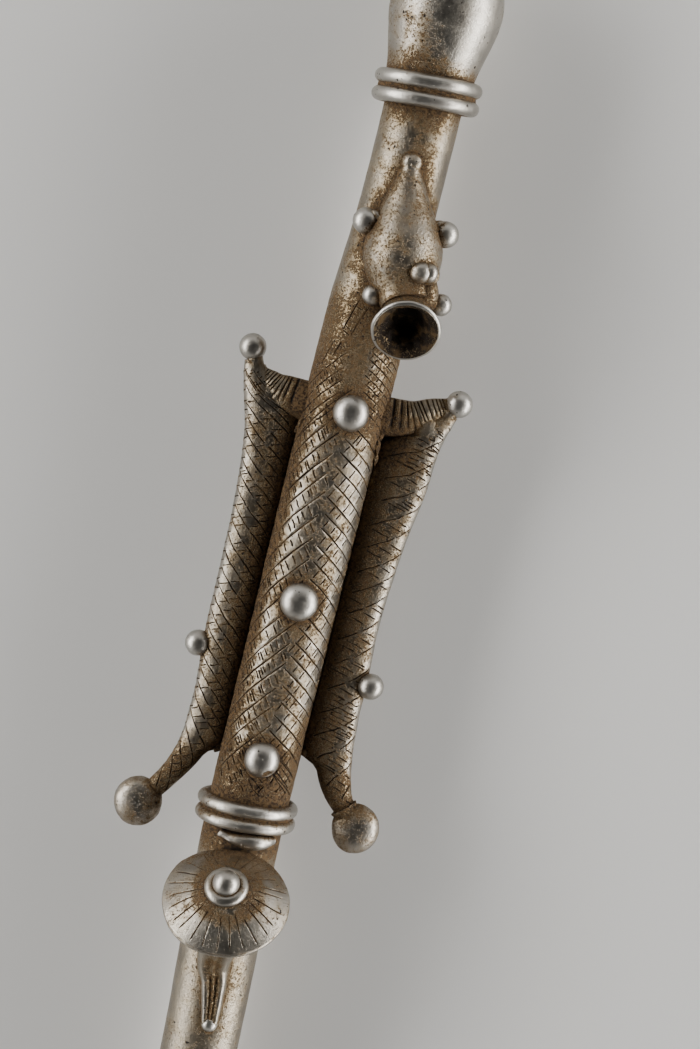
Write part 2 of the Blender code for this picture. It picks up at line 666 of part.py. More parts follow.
def add_shade(collection, cutters, origin):
    """A round domed shade, leaning towards the head, with a ringed ball on its crown and rays cut in it."""
    centre = place_at(SHADE_SIDE, SHADE_STATION, SHADE_REACH)
    turn = Matrix.Rotation(SHADE_YAW, 4, "Z") @ Matrix.Rotation(-SHADE_PITCH, 4, "X")
    place = Matrix.Translation(centre) @ turn
    profile = [(0.0, SHADE_HEIGHT)]
    for share in (0.36, 0.68, 0.90):
        profile.append((share * SHADE_RADIUS, shade_rise(share)))
    profile += arc_rows(SHADE_RADIUS - SHADE_EDGE / 2, -SHADE_EDGE / 2, SHADE_EDGE / 2, 60, -90, 2)
    profile += [(0.5 * SHADE_RADIUS, -0.6 * SHADE_EDGE), (0.0, -0.6 * SHADE_EDGE)]
    shade = turned_mesh("shade", profile, 32)
    for corner in shade.vertices:
        stretch = shade_stretch(math.atan2(corner.co.y, corner.co.x))
        corner.co.x *= stretch
        corner.co.y *= stretch
    shade.transform(place)
    add_object("shade", shade, collection, origin)

    bulge = SHADE_RING_THICKNESS / 2
    seat = shade_rise(SHADE_RING_RADIUS / SHADE_RADIUS)
    ring = [(0.0, seat + 0.8 * bulge), (SHADE_RING_RADIUS - 0.6 * bulge, seat + 0.8 * bulge)]
    ring += arc_rows(SHADE_RING_RADIUS, seat + 0.5 * bulge, bulge, 100, -40, 4)
    ring += [(SHADE_RING_RADIUS, seat - bulge), (0.0, seat - bulge)]
    add_turned("shade_ring", ring, 20, place, collection, origin)
    ball = place @ Vector((0, 0, seat + SHADE_BALL_LIFT))
    add_object("shade_ball", ball_mesh("shade_ball", ball, SHADE_BALL_RADIUS, 14), collection, origin)

    for ray in range(SHADE_RAYS):
        angle = 2 * math.pi * (ray + 0.5) / SHADE_RAYS
        points = []
        for share in (0.44, 0.94):
            out = share * SHADE_RADIUS * shade_stretch(angle)
            points.append(place @ Vector((out * math.cos(angle), out * math.sin(angle), shade_rise(share))))
        name = "ray_%02d" % (ray + 1)
        add_object(name, tube_mesh(name, points, [RAY_DEPTH, RAY_DEPTH], 4), cutters, origin)
    add_horn(place, collection, origin)


def shade_rise(share):
    """How high the shade's face stands over its rim, at a share of its radius."""
    return SHADE_HEIGHT * (1 - share ** SHADE_ROUNDNESS)


def shade_stretch(angle):
    """The shade is a little out of round: wide, with a blunt corner up on the left."""
    corner = max(math.cos(angle - math.radians(143)), 0.0) ** 8
    lean = 0.030 * math.cos(angle - math.radians(124)) + 0.018 * math.cos(2 * (angle + SHADE_YAW))
    return 1 + lean + 0.050 * corner


def add_horn(place, collection, origin):
    """The bar that carries the shade, which runs on down the shaft to a small ball."""
    face = shaft_radius(HORN_STATION)
    span = HORN_STATION - SHADE_STATION
    points = [
        place @ Vector((0, 0, -0.3 * SHADE_EDGE)),
        place @ Vector((0, -0.27 * SHADE_HEIGHT, -0.73 * SHADE_HEIGHT)),
        place_at(0.30 * HORN_SIDE, SHADE_STATION + 0.50 * span, face + HORN_LIFT),
        place_at(0.66 * HORN_SIDE, SHADE_STATION + 0.70 * span, face + 0.4 * HORN_LIFT),
        place_at(HORN_SIDE, HORN_STATION, face),
    ]
    radii = [share * HORN_RADIUS for share in (1.25, 1.08, 0.86, 0.66, 0.40)]
    horn = smooth_tube("horn", points, radii, 10, 8)
    add_object("horn", horn, collection, origin)
    tip = ball_mesh("horn_tip", points[-1] + Vector((0, 0, 0.2 * HORN_LIFT)), HORN_TIP_BALL_RADIUS, 10)
    add_object("horn_tip", tip, collection, origin)


def add_rest_cutter(cutters, origin):
    """A slab whose top leaves a small flat spot under the knob and under the foot."""
    depth = 2 * CUT_CLEARANCE
    width = 6 * WING_SPREAD
    mesh = bpy.data.meshes.new("rest_cutter")
    work = bmesh.new()
    middle = place_at(0.0, FOOT_STATION - STAFF_LENGTH / 2, -REST_DROP - depth / 2)
    size = Matrix.Diagonal((width, 1.2 * STAFF_LENGTH, depth, 1.0))
    bmesh.ops.create_cube(work, size=1.0, matrix=Matrix.Translation(middle) @ size)
    work.to_mesh(mesh)
    work.free()
    add_object("rest_cutter", mesh, cutters, origin)


def shaft_mesh():
    start = -UPPER_RING_THICKNESS
    end = FOOT_STATION - 0.6 * FOOT_HEIGHT
    joint = BEND_STATION + 2 * BEND_LENGTH
    stations = [start + (joint - start) * step / 12 for step in range(13)]
    stations += [joint + (end - joint) * step / 3 for step in range(1, 4)]
    points = [place_at(shaft_sway(station), station, 0.0) for station in stations]
    return tube_mesh("staff", points, [shaft_radius(station) for station in stations], SHAFT_SIDES)


def add_boolean(thing, name, operation, collection):
    modifier = thing.modifiers.new(name, "BOOLEAN")
    modifier.operation = operation
    modifier.operand_type = "COLLECTION"
    modifier.collection = collection
    modifier.solver = "EXACT"


def centre_on_floor(staff, origin):
    """Moves the whole staff so that its box stands on the origin, centred."""
    graph = bpy.context.evaluated_depsgraph_get()
    solid = staff.evaluated_get(graph)
    corners = [solid.matrix_world @ vertex.co for vertex in solid.data.vertices]
    low = Vector([min(corner[axis] for corner in corners) for axis in range(3)])
    high = Vector([max(corner[axis] for corner in corners) for axis in range(3)])
    origin.location = Vector((-(low.x + high.x) / 2, -(low.y + high.y) / 2, -low.z))


def main():
    clear_scene()
    part = new_collection("ceremonial_staff")
    forms = new_collection("cast_forms")
    cutters = new_collection("cutters")
    origin = bpy.data.objects.new("origin", None)
    part.objects.link(origin)

    staff = add_object("staff", shaft_mesh(), part, origin, is_helper=False)
    staff.data.materials.append(cast_metal())
    add_knob(forms, origin)
    add_upper_collar(forms, origin)
    add_animal(forms, cutters, origin)
    add_bosses(forms, origin)
    add_wing(True, forms, origin)
    add_wing(False, forms, origin)
    add_lower_collar(forms, origin)
    add_shade(forms, cutters, origin)
    add_foot(forms, origin)
    add_rest_cutter(cutters, origin)
    add_boolean(staff, "join forms", "UNION", forms)
    add_boolean(staff, "cut hollows", "DIFFERENCE", cutters)
    bpy.context.view_layer.update()
    centre_on_floor(staff, origin)


main()
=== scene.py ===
import math
import random
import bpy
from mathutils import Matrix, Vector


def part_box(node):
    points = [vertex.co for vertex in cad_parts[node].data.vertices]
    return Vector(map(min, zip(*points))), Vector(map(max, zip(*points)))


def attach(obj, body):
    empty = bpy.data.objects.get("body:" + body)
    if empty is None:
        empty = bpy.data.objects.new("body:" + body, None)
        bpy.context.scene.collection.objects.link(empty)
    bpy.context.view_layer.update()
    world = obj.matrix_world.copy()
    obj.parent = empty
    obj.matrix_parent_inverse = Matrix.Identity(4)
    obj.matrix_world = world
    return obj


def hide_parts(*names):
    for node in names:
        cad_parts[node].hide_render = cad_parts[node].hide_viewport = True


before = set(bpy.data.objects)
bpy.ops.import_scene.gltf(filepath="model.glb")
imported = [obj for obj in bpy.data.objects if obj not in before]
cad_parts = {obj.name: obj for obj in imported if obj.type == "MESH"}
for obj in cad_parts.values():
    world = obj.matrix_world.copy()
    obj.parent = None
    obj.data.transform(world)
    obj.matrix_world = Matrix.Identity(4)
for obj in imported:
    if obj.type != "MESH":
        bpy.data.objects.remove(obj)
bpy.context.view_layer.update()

from types import SimpleNamespace

import bmesh
import bpy
import numpy as np
from mathutils import Matrix, Vector
from mathutils import noise
from mathutils.bvhtree import BVHTree
from mathutils.geometry import delaunay_2d_cdt
from mathutils.kdtree import KDTree

# The looks of a cast staff: one closed skin with its carving, a weathered metal with some painted highlight
# and shade, a pale floor and soft light.
# Sizes are in millimetres and the same as the solid's. A station runs down the staff from the upper collar.

MM = 0.001
UP = Matrix.Rotation(-math.pi / 2, 4, "X")  # turns +Z to +Y, up the staff

REST_DROP = 18.3
TOP_HEIGHT = 59.72
CAD_TOP = 59.58  # the solid's faceted finial stops a little short of it
STAFF_LENGTH = 950.0
FOOT_STATION = STAFF_LENGTH - TOP_HEIGHT
LEFT_REACH = 45.173  # from the middle line out to the left end disc's rim
CARVED_RADIUS = 14.1
CARVING_START = 68.0
CARVING_END = 244.0
SHAFT_COLUMNS = 80

SHAFT_ROWS = (
    (-4.7, 13.05, 0.0),
    (38.0, 13.05, 0.0),
    (60.8, 13.7, -0.6),
    (76.0, 14.1, -0.9),
    (130.25, 14.1, -1.0),
    (191.0, 13.9, -0.7),
    (231.0, 13.7, -0.5),
    (262.0, 13.5, -0.1),
    (298.5, 13.5, 1.75),
    (335.0, 13.1, 3.5),
    (408.0, 12.8, 4.725),
    (607.55, 12.5, 3.5),
    (861.48, 12.2, 1.05),
)
LEFT_WING_ROWS = (
    (101.0, 34.1, 3.6), (105.0, 32.0, 5.0), (109.0, 30.0, 6.0), (115.0, 27.4, 7.0), (122.0, 25.6, 7.0),
    (130.0, 24.4, 6.9), (142.0, 23.3, 6.9), (154.0, 22.6, 7.0), (166.0, 22.1, 7.2), (180.0, 21.9, 7.2),
    (195.0, 21.7, 7.2), (212.0, 20.9, 6.7), (224.0, 21.7, 6.1), (228.5, 22.4, 5.7), (234.0, 23.7, 5.2),
    (241.0, 26.6, 4.6), (247.5, 30.5, 4.3), (252.0, 33.6, 4.3), (256.0, 36.6, 4.0),
)
RIGHT_WING_ROWS = (
    (103.0, 33.1, 3.5), (106.0, 31.0, 4.8), (110.0, 28.8, 5.8), (115.0, 26.8, 6.7), (121.0, 26.2, 6.7),
    (130.0, 25.6, 6.9), (142.0, 23.9, 6.9), (157.0, 22.2, 7.1), (176.0, 21.1, 7.2), (195.0, 21.7, 7.2),
    (210.0, 22.2, 7.0), (220.0, 23.2, 6.7), (226.0, 24.3, 6.4), (232.0, 25.9, 6.0), (238.5, 29.0, 5.3),
    (243.0, 33.0, 5.2), (246.5, 36.4, 4.4),
)
# Rows of a flap: its place along the flap, its reach from the middle line, its station and its radius.
LEFT_FLAP_ROWS = (
    (0, 33.0, 103.0, 2.22), (1, 28.5, 106.2, 4.44), (2, 21.5, 109.0, 6.51), (3, 4.23, 110.2, 7.4),
)
RIGHT_FLAP_ROWS = (
    (0, 33.5, 99.2, 2.66), (1, 27.5, 103.0, 4.74), (2, 20.0, 107.2, 6.36), (3, 4.23, 108.8, 7.1),
)
LOWER_RINGS = 250.4
ANIMAL_STATION = 24.0
ANIMAL_LENGTH = 45.5
ANIMAL_RADIUS = 13.2
ANIMAL_ROWS = (
    (0.00, 0.000, 0.000, 0.20), (0.13, 0.012, -0.020, 0.38), (0.27, 0.030, -0.035, 0.58),
    (0.42, 0.055, -0.035, 0.80), (0.54, 0.075, -0.032, 0.945), (0.65, 0.095, -0.028, 1.00),
    (0.75, 0.115, -0.018, 0.965), (0.84, 0.140, 0.000, 0.85), (0.92, 0.172, 0.032, 0.71),
    (1.00, 0.207, 0.075, 0.61),
)
# A limb's share of the body's length, its side, its ball's radius, its reach, its lift and its thickness.
LIMBS = (
    (0.41, -1, 4.5, 1.00, 0.04, 0.9),
    (0.52, 1, 4.5, 0.92, -0.03, 0.9),
    (0.93, -1, 3.4, 0.93, 0.02, 0.9),
    (1.01, 1, 3.4 * 1.10, 1.19, -0.12, 1.2),
)
CUP_RADIUS = 11.6
CUP_LIP = 0.9
CUP_WALL = 1.4
CUP_DEPTH = 9.5
CUP_REACH = 28.0
CUP_PITCH = math.radians(32.5)
CUP_YAW = math.radians(15.0)
CUP_DROP = 2.1
SHADE_STATION = 276.7
SHADE_SIDE = 1.1
SHADE_REACH = 28.0
SHADE_RADIUS = 21.0
SHADE_HEIGHT = 11.0
SHADE_RAYS = 26
SHADE_PITCH = math.radians(44.5)
SHADE_YAW = math.radians(11.0)
HORN_STATION = 322.0
HORN_RADIUS = 6.4
HORN_SIDE = 5.1
BOSSES = ((108.8, 1.5), (174.5, 0.0), (229.6, 0.7))
BURR = 0.075  # how far the edge of a cut stands up
BURR_WIDTH = 0.2
SHEET_SPACING = 1.7
SHAFT_LEAN = 0.9  # how far left of the middle line the carved shaft's middle lies
HOLLOW_REACH = 9.0
HOLLOW_RAYS = 18
GOLDEN_ANGLE = 2.399963

# Nets of cuts, as net() takes them, with their side of the shaft first.
SHAFT_NETS = (
    # Left side: long lines that climb to the front, with steep bars between each pair.
    (-1, (102, 318), (-1.6, 41.0), (1.175, 7.2), (-1.372, 4.6), (0.68, 0.32), (0.72, 0.42),
     0.92, (0.05, 0.95), 0.22),
    # Right side: lines that fall away from the front, with bars that lean the other way.
    (1, (110, 250), (1.0, 41.0), (0.63, 5.4), (-1.81, 7.4), (0.68, 0.34), (0.60, 0.32),
     0.84, (0.02, 0.98), 0.10),
    # A finer net from under the cup to the first boss, and coarser cells on its left.
    (1, (72, 106), (3.5, 22.0), (0.53, 2.7), (-1.81, 5.8), (0.54, 0.25), (0.54, 0.25), 0.90, (0.0, 1.0), 0.0),
    (-1, (86, 110), (2.5, 19.0), (1.02, 4.8), (-1.2, 5.4), (0.60, 0.28), (0.56, 0.28),
     0.74, (0.05, 0.95), 0.2),
    # Scratches under the last boss.
    (1, (222, 243), (-8.0, 16.0), (0.75, 2.5), (-0.9, 6.0), (0.55, 0.28), (0.50, 0.24),
     0.55, (0.0, 0.95), 0.0),
)
# Steep lines that fall inwards, close at the top, with nearly level rungs across them.
LEFT_WING_NETS = (
    ((96, 246), (0.9, 15.0), (1.12, 5.2), (-0.42, 3.2), (0.54, 0.27), (0.50, 0.26), 0.66, (0.0, 1.0), 0.10),
    ((90, 104), (2.0, 14.0), (1.35, 3.6), (-0.42, 2.2), (0.50, 0.25), (0.48, 0.25), 0.80, (0.0, 1.0), 0.0),
)
# Slanting lines that climb outwards, crossed by short cuts that fall.
RIGHT_WING_NETS = (
    ((116, 256), (3.0, 16.4), (-0.92, 8.2), (0.36, 3.0), (0.52, 0.26), (0.56, 0.30), 0.8, (0.1, 0.92), 0.10),
    ((106, 121), (5.5, 15.0), (0.24, 1.6), (2.2, 16.0), (0.50, 0.26), (0.50, 0.24), 0.5, (0.0, 0.9), 0.0),
    ((202, 214), (4.5, 14.0), (0.30, 1.7), (-0.9, 9.0), (0.50, 0.25), (0.50, 0.24), 0.8, (0.0, 0.9), 0.0),
)
WING_WIDTH = 44.0  # round the whole section, with the crest and the outer edge at fixed places on the sheet
WING_EDGE, WING_CREST, WING_OUTER = 4.0, 13.0, 22.0
WING_COLUMNS = 44
# What differs between the wings: join is where a wing runs into the shaft's side, and carved is its stretch
# with cuts. The left wing's nets run inwards from its outer edge, and the right wing's the other way.
LEFT_WING = SimpleNamespace(
    side=-1, seed=11, rows=LEFT_WING_ROWS, flap=LEFT_FLAP_ROWS, join=(107.0, 226.5), crease=(26.5, 110.5),
    nets=LEFT_WING_NETS, carved=(103.0, 252.0), net_start=WING_OUTER - 0.5, net_way=-1,
    nicks=np.arange(105.0, 247.0, 3.2), ball_height=0.45, disc=256.5, drips=5, corner=231.0,
)
RIGHT_WING = SimpleNamespace(
    side=1, seed=12, rows=RIGHT_WING_ROWS, flap=RIGHT_FLAP_ROWS, join=(110.0, 222.5), crease=(27.5, 109.5),
    nets=RIGHT_WING_NETS, carved=(104.5, 243.0), net_start=WING_EDGE + 1.0, net_way=1,
    nicks=(), ball_height=2.25, disc=247.5, drips=12, corner=224.5,
)
FLOOR_REACH = 12.0  # metres
SENSOR_HEIGHT = 36.0
PHOTO_HEIGHT_PIXELS = 1049.0
FOCAL_LENGTH_PIXELS = 2977.0

draw = random.Random(7)
groups = {}


def course(rows, places):
    """Reads a smooth curve through rows of (place, value, ...) at many places: one row of values for each."""
    table = np.array(rows, float)
    keys = table[:, 0]
    places = np.clip(np.atleast_1d(np.asarray(places, float)), keys[0], keys[-1])
    lower = np.maximum(np.arange(len(keys)) - 1, 0)
    upper = np.minimum(np.arange(len(keys)) + 1, len(keys) - 1)
    slopes = (table[upper] - table[lower]) / (keys[upper] - keys[lower])[:, None]
    index = np.clip(np.searchsorted(keys, places, side="left") - 1, 0, len(keys) - 2)
    span = (keys[index + 1] - keys[index])[:, None]
    share = (places[:, None] - keys[index][:, None]) / span
    rise = share * share * (3 - 2 * share)
    bow_in = share * (1 - share) ** 2
    bow_out = share * share * (share - 1)
    start = table[index]
    end = table[index + 1]
    values = start + (end - start) * rise + span * (slopes[index] * bow_in + slopes[index + 1] * bow_out)
    return values[:, 1:]


def smooth_step(low, high, value):
    share = np.clip((np.asarray(value, float) - low) / (high - low), 0.0, 1.0)
    return share * share * (3 - 2 * share)


def grain(points, scale, seed=0.0):
    """Smooth noise from -1 to 1 at many points, with features about scale millimetres across."""
    offset = Vector((seed * 17.3, seed * 5.1, -seed * 9.7))
    return np.array([noise.noise(Vector(point) / scale + offset) for point in points])


def add_part(group, points, faces, cut=None, polish_and_sheen=0.0, soil_and_shade=0.0):
    """Keeps one closed body for the union, with its share of carving, polish and painted sheen, and soil and
    painted shade at each point.
    """
    points = np.asarray(points, float)
    looks = np.zeros((len(points), 3))
    looks[:, 0] = 0.0 if cut is None else cut
    looks[:, 1] = polish_and_sheen
    looks[:, 2] = soil_and_shade
    groups.setdefault(group, []).append((points, faces, looks))


def moved(points, place):
    """Points through a 4x4 matrix, both in millimetres."""
    matrix = np.array(place)
    return points @ matrix[:3, :3].T + matrix[:3, 3]


def shaken(points, scale, seed, size):
    """Points moved by smooth noise in all three directions."""
    return points + size * np.column_stack([grain(points, scale, seed + k) for k in range(3)])


def swell(points, *noises, mask=1.0):
    """Makes a turned form uneven. Each noise is (share of the radius, scale, seed)."""
    share = sum(size * grain(points, scale, seed) for size, scale, seed in noises)
    points[:, :2] *= 1 + (mask * share)[:, None]


def ring_faces(rings, sides):
    """Faces between a first pole, rings of points and a last pole."""
    last = 1 + (rings - 1) * sides
    faces = []
    for i in range(sides):
        j = (i + 1) % sides
        faces.append((0, 1 + i, 1 + j))
        faces.extend((a + i, a + sides + i, a + sides + j, a + j) for a in range(1, last, sides))
        faces.append((last + sides, last + j, last + i))
    return faces


def lathe(profile, sides):
    """Turns rows of (radius, height) about Z, down the outer side. The two ends are on the axis."""
    angles = 2 * math.pi * np.arange(sides) / sides
    points = [(0.0, 0.0, profile[0][1])]
    for radius, height in profile[1:-1]:
        points.extend((radius * x, radius * y, height) for x, y in zip(np.cos(angles), np.sin(angles)))
    points.append((0.0, 0.0, profile[-1][1]))
    return np.array(points), ring_faces(len(profile) - 2, sides)


def side_profile(rows, steps, top, bottom):
    """Rows of (radius, height) down a course of radii, from one height to another."""
    shares = np.arange(steps + 1) / steps
    return list(zip(course(rows, shares)[:, 0], top + (bottom - top) * shares))


def tube(points, radii, sides, guide, shape=None):
    """A closed bar along points. The bar never runs along guide, and shape(angles, share) scales its rim."""
    points = np.asarray(points, float)
    along = np.gradient(points, axis=0)
    along /= np.linalg.norm(along, axis=1)[:, None]
    first = np.cross(along, np.array(guide, float))
    first /= np.linalg.norm(first, axis=1)[:, None]
    second = np.cross(along, first)
    angles = 2 * math.pi * np.arange(sides) / sides
    made = [points[0]]
    for index, (point, radius) in enumerate(zip(points, radii)):
        scale = np.ones(sides) if shape is None else shape(angles, index / (len(points) - 1))
        rim = np.outer(np.cos(angles) * scale, first[index]) + np.outer(np.sin(angles) * scale, second[index])
        made.extend(point + radius * rim)
    made.append(points[-1])
    return np.array(made), [(face[0], *face[:0:-1]) for face in ring_faces(len(points), sides)]


def ball(group, centre, radius, sides=40, stretch=(1, 1, 1), turn=0.0, dent=0.012, seed=1.0, polish_and_sheen=1.0):
    """A hand-rolled ball: round, with soft dents of a share of its radius."""
    steps = sides // 2
    profile = [(math.sin(math.pi * s / steps), math.cos(math.pi * s / steps)) for s in range(steps + 1)]
    points, faces = lathe(profile, sides)
    dents = dent * grain(points, 0.8, seed) + 0.4 * dent * grain(points, 0.3, seed + 3)
    points = points * (1 + dents)[:, None]
    place = Matrix.Translation(centre) @ Matrix.Rotation(turn, 4, "Z") @ Matrix.Diagonal((*stretch, 1.0))
    add_part(group, moved(points * radius, place), faces, None, polish_and_sheen)


def at(x, station, height):
    return Vector((x, -station, height))


def shaft_at(station):
    """The shaft's radius and its sway to the right."""
    return course(SHAFT_ROWS, station)[0]


# Carving: each stroke is a cut with a point at both ends, laid out on a flat sheet that is then wrapped.


def stroke(start, end, width, depth, bends=1, wander=0.0):
    """A cut with pointed tips: its deepest line, and its half width and depth at each point."""
    start = np.array(start, float)
    end = np.array(end, float)
    length = max(np.linalg.norm(end - start), 1e-6)
    tip = min(0.55 / length, 0.3)
    share = np.concatenate([[0.0], np.linspace(tip, 1 - tip, bends + 1), [1.0]])
    line = start + (end - start) * share[:, None]
    across = np.array([-(end - start)[1], (end - start)[0]]) / length
    for index in range(1, len(share) - 1):
        line[index] += across * draw.uniform(-wander, wander)
    pressure = np.array([draw.uniform(0.72, 1.15) for _ in share])
    pressure[0] = pressure[-1] = 0.0
    return line, width / 2 * pressure, depth * pressure


def carving(points, strokes):
    """How deep the cuts go at each point, and how far each point lies outside the nearest cut."""
    order = np.argsort(points[:, 1])
    lined = points[order]
    depth = np.zeros(len(points))
    clear = np.full(len(points), 99.0)
    for line, half, deep in strokes:
        for index in range(len(line) - 1):
            a, b = line[index], line[index + 1]
            reach = max(half[index], half[index + 1]) + 1.2
            first = np.searchsorted(lined[:, 1], min(a[1], b[1]) - reach)
            last = np.searchsorted(lined[:, 1], max(a[1], b[1]) + reach)
            if first == last:
                continue
            here = lined[first:last]
            span = b - a
            share = np.clip(((here - a) @ span) / max(span @ span, 1e-9), 0, 1)
            gap = np.linalg.norm(here - a - share[:, None] * span, axis=1)
            width = half[index] + (half[index + 1] - half[index]) * share
            sunk = deep[index] + (deep[index + 1] - deep[index]) * share
            value = sunk * np.clip(1 - gap / np.maximum(width, 1e-6), 0, 1)
            depth[first:last] = np.maximum(depth[first:last], value)
            clear[first:last] = np.minimum(clear[first:last], gap - width)
    back = np.empty_like(depth)
    back[order] = depth
    near = np.empty_like(clear)
    near[order] = clear
    return back, near


def carved_sheet(width, low, high, columns, strokes):
    """The points and faces of a sheet from u = 0 to width, with every cut in its triangles."""
    rows = max(int(round((high - low) / SHEET_SPACING)), 2)
    corners = []
    edges = []
    for v in (low, high):
        start = len(corners)
        corners.extend((width * i / columns, v) for i in range(columns + 1))
        edges.extend((start + i, start + i + 1) for i in range(columns))
    for row in range(1, rows):
        v = low + (high - low) * row / rows
        corners.append((0.0, v))
        corners.append((width, v))
    loose = []
    for row in range(1, rows):
        for i in range(columns):
            u = width * (i + 0.5 + 0.5 * (row % 2)) / columns
            if 0.3 < u < width - 0.3:
                v = low + (high - low) * row / rows
                loose.append((u + draw.uniform(-0.12, 0.12), v + draw.uniform(-0.12, 0.12)))
    loose = np.array(loose)
    _, clear = carving(loose, strokes)
    corners.extend(map(tuple, loose[clear > 0.28]))
    for line, half, _ in strokes:
        tangent = np.gradient(line, axis=0)
        across = np.column_stack([-tangent[:, 1], tangent[:, 0]])
        across /= np.linalg.norm(across, axis=1)[:, None]
        first = len(corners)
        corners.append(tuple(line[0]))
        corners.append(tuple(line[-1]))
        for side in (-1, 0, 1):
            before = first
            for index in range(1, len(line) - 1):
                corners.append(tuple(line[index] + side * half[index] * across[index]))
                edges.append((before, len(corners) - 1))
                before = len(corners) - 1
            edges.append((before, first + 1))
    made = delaunay_2d_cdt([Vector(c) for c in corners], edges, [], 0, 1e-4, False)
    sheet = np.array([tuple(v) for v in made[0]])
    return sheet, [tuple(face) for face in made[2]]


def wrapped(sheet, faces, width):
    """Joins the sheet's left and right edges, and drops what folds up."""
    u = np.where(sheet[:, 0] > width - 1e-3, 0.0, sheet[:, 0])
    keys = np.round(np.column_stack([u, sheet[:, 1]]) * 2000).astype(np.int64)
    _, first, index = np.unique(keys, axis=0, return_index=True, return_inverse=True)
    index = index.reshape(-1)
    kept = np.column_stack([u, sheet[:, 1]])[first]
    joined = [tuple(int(index[corner]) for corner in face) for face in faces]
    return kept, [face for face in joined if len(set(face)) == len(face)]


def grid_rows(width, stations, columns):
    """A plain sheet with even columns and one row of points at each station."""
    sheet = np.array([(width * i / columns, v) for v in stations for i in range(columns + 1)])
    faces = []
    for row in range(len(stations) - 1):
        for i in range(columns):
            a = row * (columns + 1) + i
            faces.append((a, a + 1, a + columns + 2, a + columns + 1))
    return sheet, faces


def closed_ends(sheet, points, faces, low, high, facing):
    """Fans that close the two open ends of a wrapped sheet."""
    points = list(points)
    for end, turn in ((low, facing), (high, not facing)):
        ring = [i for i in range(len(sheet)) if abs(sheet[i][1] - end) < 1e-3]
        ring.sort(key=lambda i: sheet[i][0])
        centre = len(points)
        points.append(np.mean([points[i] for i in ring], axis=0))
        for a, b in zip(ring, ring[1:] + ring[:1]):
            faces.append((centre, a, b) if turn else (centre, b, a))
    return np.array(points), faces


def net(put, span, reach, long_way, cross_way, long_cut, cross_cut, filled, bar, twin):
    """Long slanting lines with short bars between each pair.

    Both kinds are lines v = start + slope * w. span is the range of the long lines' starts, and reach is the
    range of w. Each way is (slope, spacing), each cut is (width, depth), filled is the share of bars that are
    there, bar is the share of the gap that a bar fills, and twin is the share of bars that are doubled.
    """
    slope, spacing = long_way
    lean, step = cross_way
    starts = []
    start = span[0]
    while start < span[1]:
        starts.append(start)
        a = reach[0] + draw.uniform(0.0, 1.6)
        b = reach[1] - draw.uniform(0.0, 2.0)
        middle = draw.uniform(0.42, 0.62) * (a + b)
        put((a, start + slope * a), (middle, start + slope * middle), *long_cut, 4, 0.16)
        middle += draw.uniform(-0.3, 0.5)
        put((middle, start + slope * middle), (b, start + slope * b), *long_cut, 4, 0.16)
        start += spacing * draw.uniform(0.90, 1.10)
    for above, below in zip(starts, starts[1:]):
        first, last = sorted((above + (slope - lean) * w for w in reach))
        cross = first + step * draw.random()
        while cross < last:
            ends = [(cross - line) / (slope - lean) for line in (above, below)]
            marks = 2 if draw.random() < twin else 1
            for mark in range(marks):
                shift = mark * 0.35 * step
                share = (bar[0] + draw.uniform(0.0, 0.12), bar[1] - draw.uniform(0.0, 0.22))
                w = [ends[0] + (ends[1] - ends[0]) * s + shift / (slope - lean) for s in share]
                if draw.random() < filled and min(w) > reach[0] and max(w) < reach[1]:
                    put(*((place, cross + lean * place + shift) for place in w), *cross_cut, 2, 0.10)
            cross += step * draw.uniform(0.72, 1.28)


def shaft_strokes():
    """Pointed bands that meet down the front, filled with short bars, over a closer net under the cup."""
    made = []
    front = math.pi * CARVED_RADIUS
    low, high = CARVING_START + 1, CARVING_END - 1

    def put(side, a, b, width, depth, bends=1, wander=0.0):
        if min(a[1], b[1]) < low or max(a[1], b[1]) > high or max(a[0], b[0]) > front - 1:
            return
        made.append(stroke(*((front + side * u, v) for u, v in (a, b)), width, depth, bends, wander))

    for side, *rest in SHAFT_NETS:
        net(lambda *cut: put(side, *cut), *rest)
    # A short ladder that comes out from under the cup, then open marks below it.
    for a, b in (((4.0, 71.6), (7.2, 82.6)), ((0.5, 73.8), (4.0, 84.0)), ((7.2, 82.6), (4.0, 84.0)),
                 ((9.0, 86.0), (13.0, 96.0)), ((6.5, 86.5), (8.5, 92.0))):
        put(-1, a, b, 0.60, 0.30, 2, 0.08)
    for step in range(4):
        put(-1, (4.4 + 0.8 * step, 74.0 + 2.4 * step), (2.4 + 0.8 * step, 74.8 + 2.4 * step), 0.45, 0.20)
    return made


def cut_clear_of_bosses(strokes):
    """Leaves out the short cuts that would run under a boss."""
    kept = []
    front = math.pi * CARVED_RADIUS
    for line, half, deep in strokes:
        middle = line.mean(axis=0)
        gaps = [math.hypot(middle[0] - front - side, middle[1] - station) for station, side in BOSSES]
        if min(gaps) > 5.0 or len(line) > 5:
            kept.append((line, half, deep))
    return kept


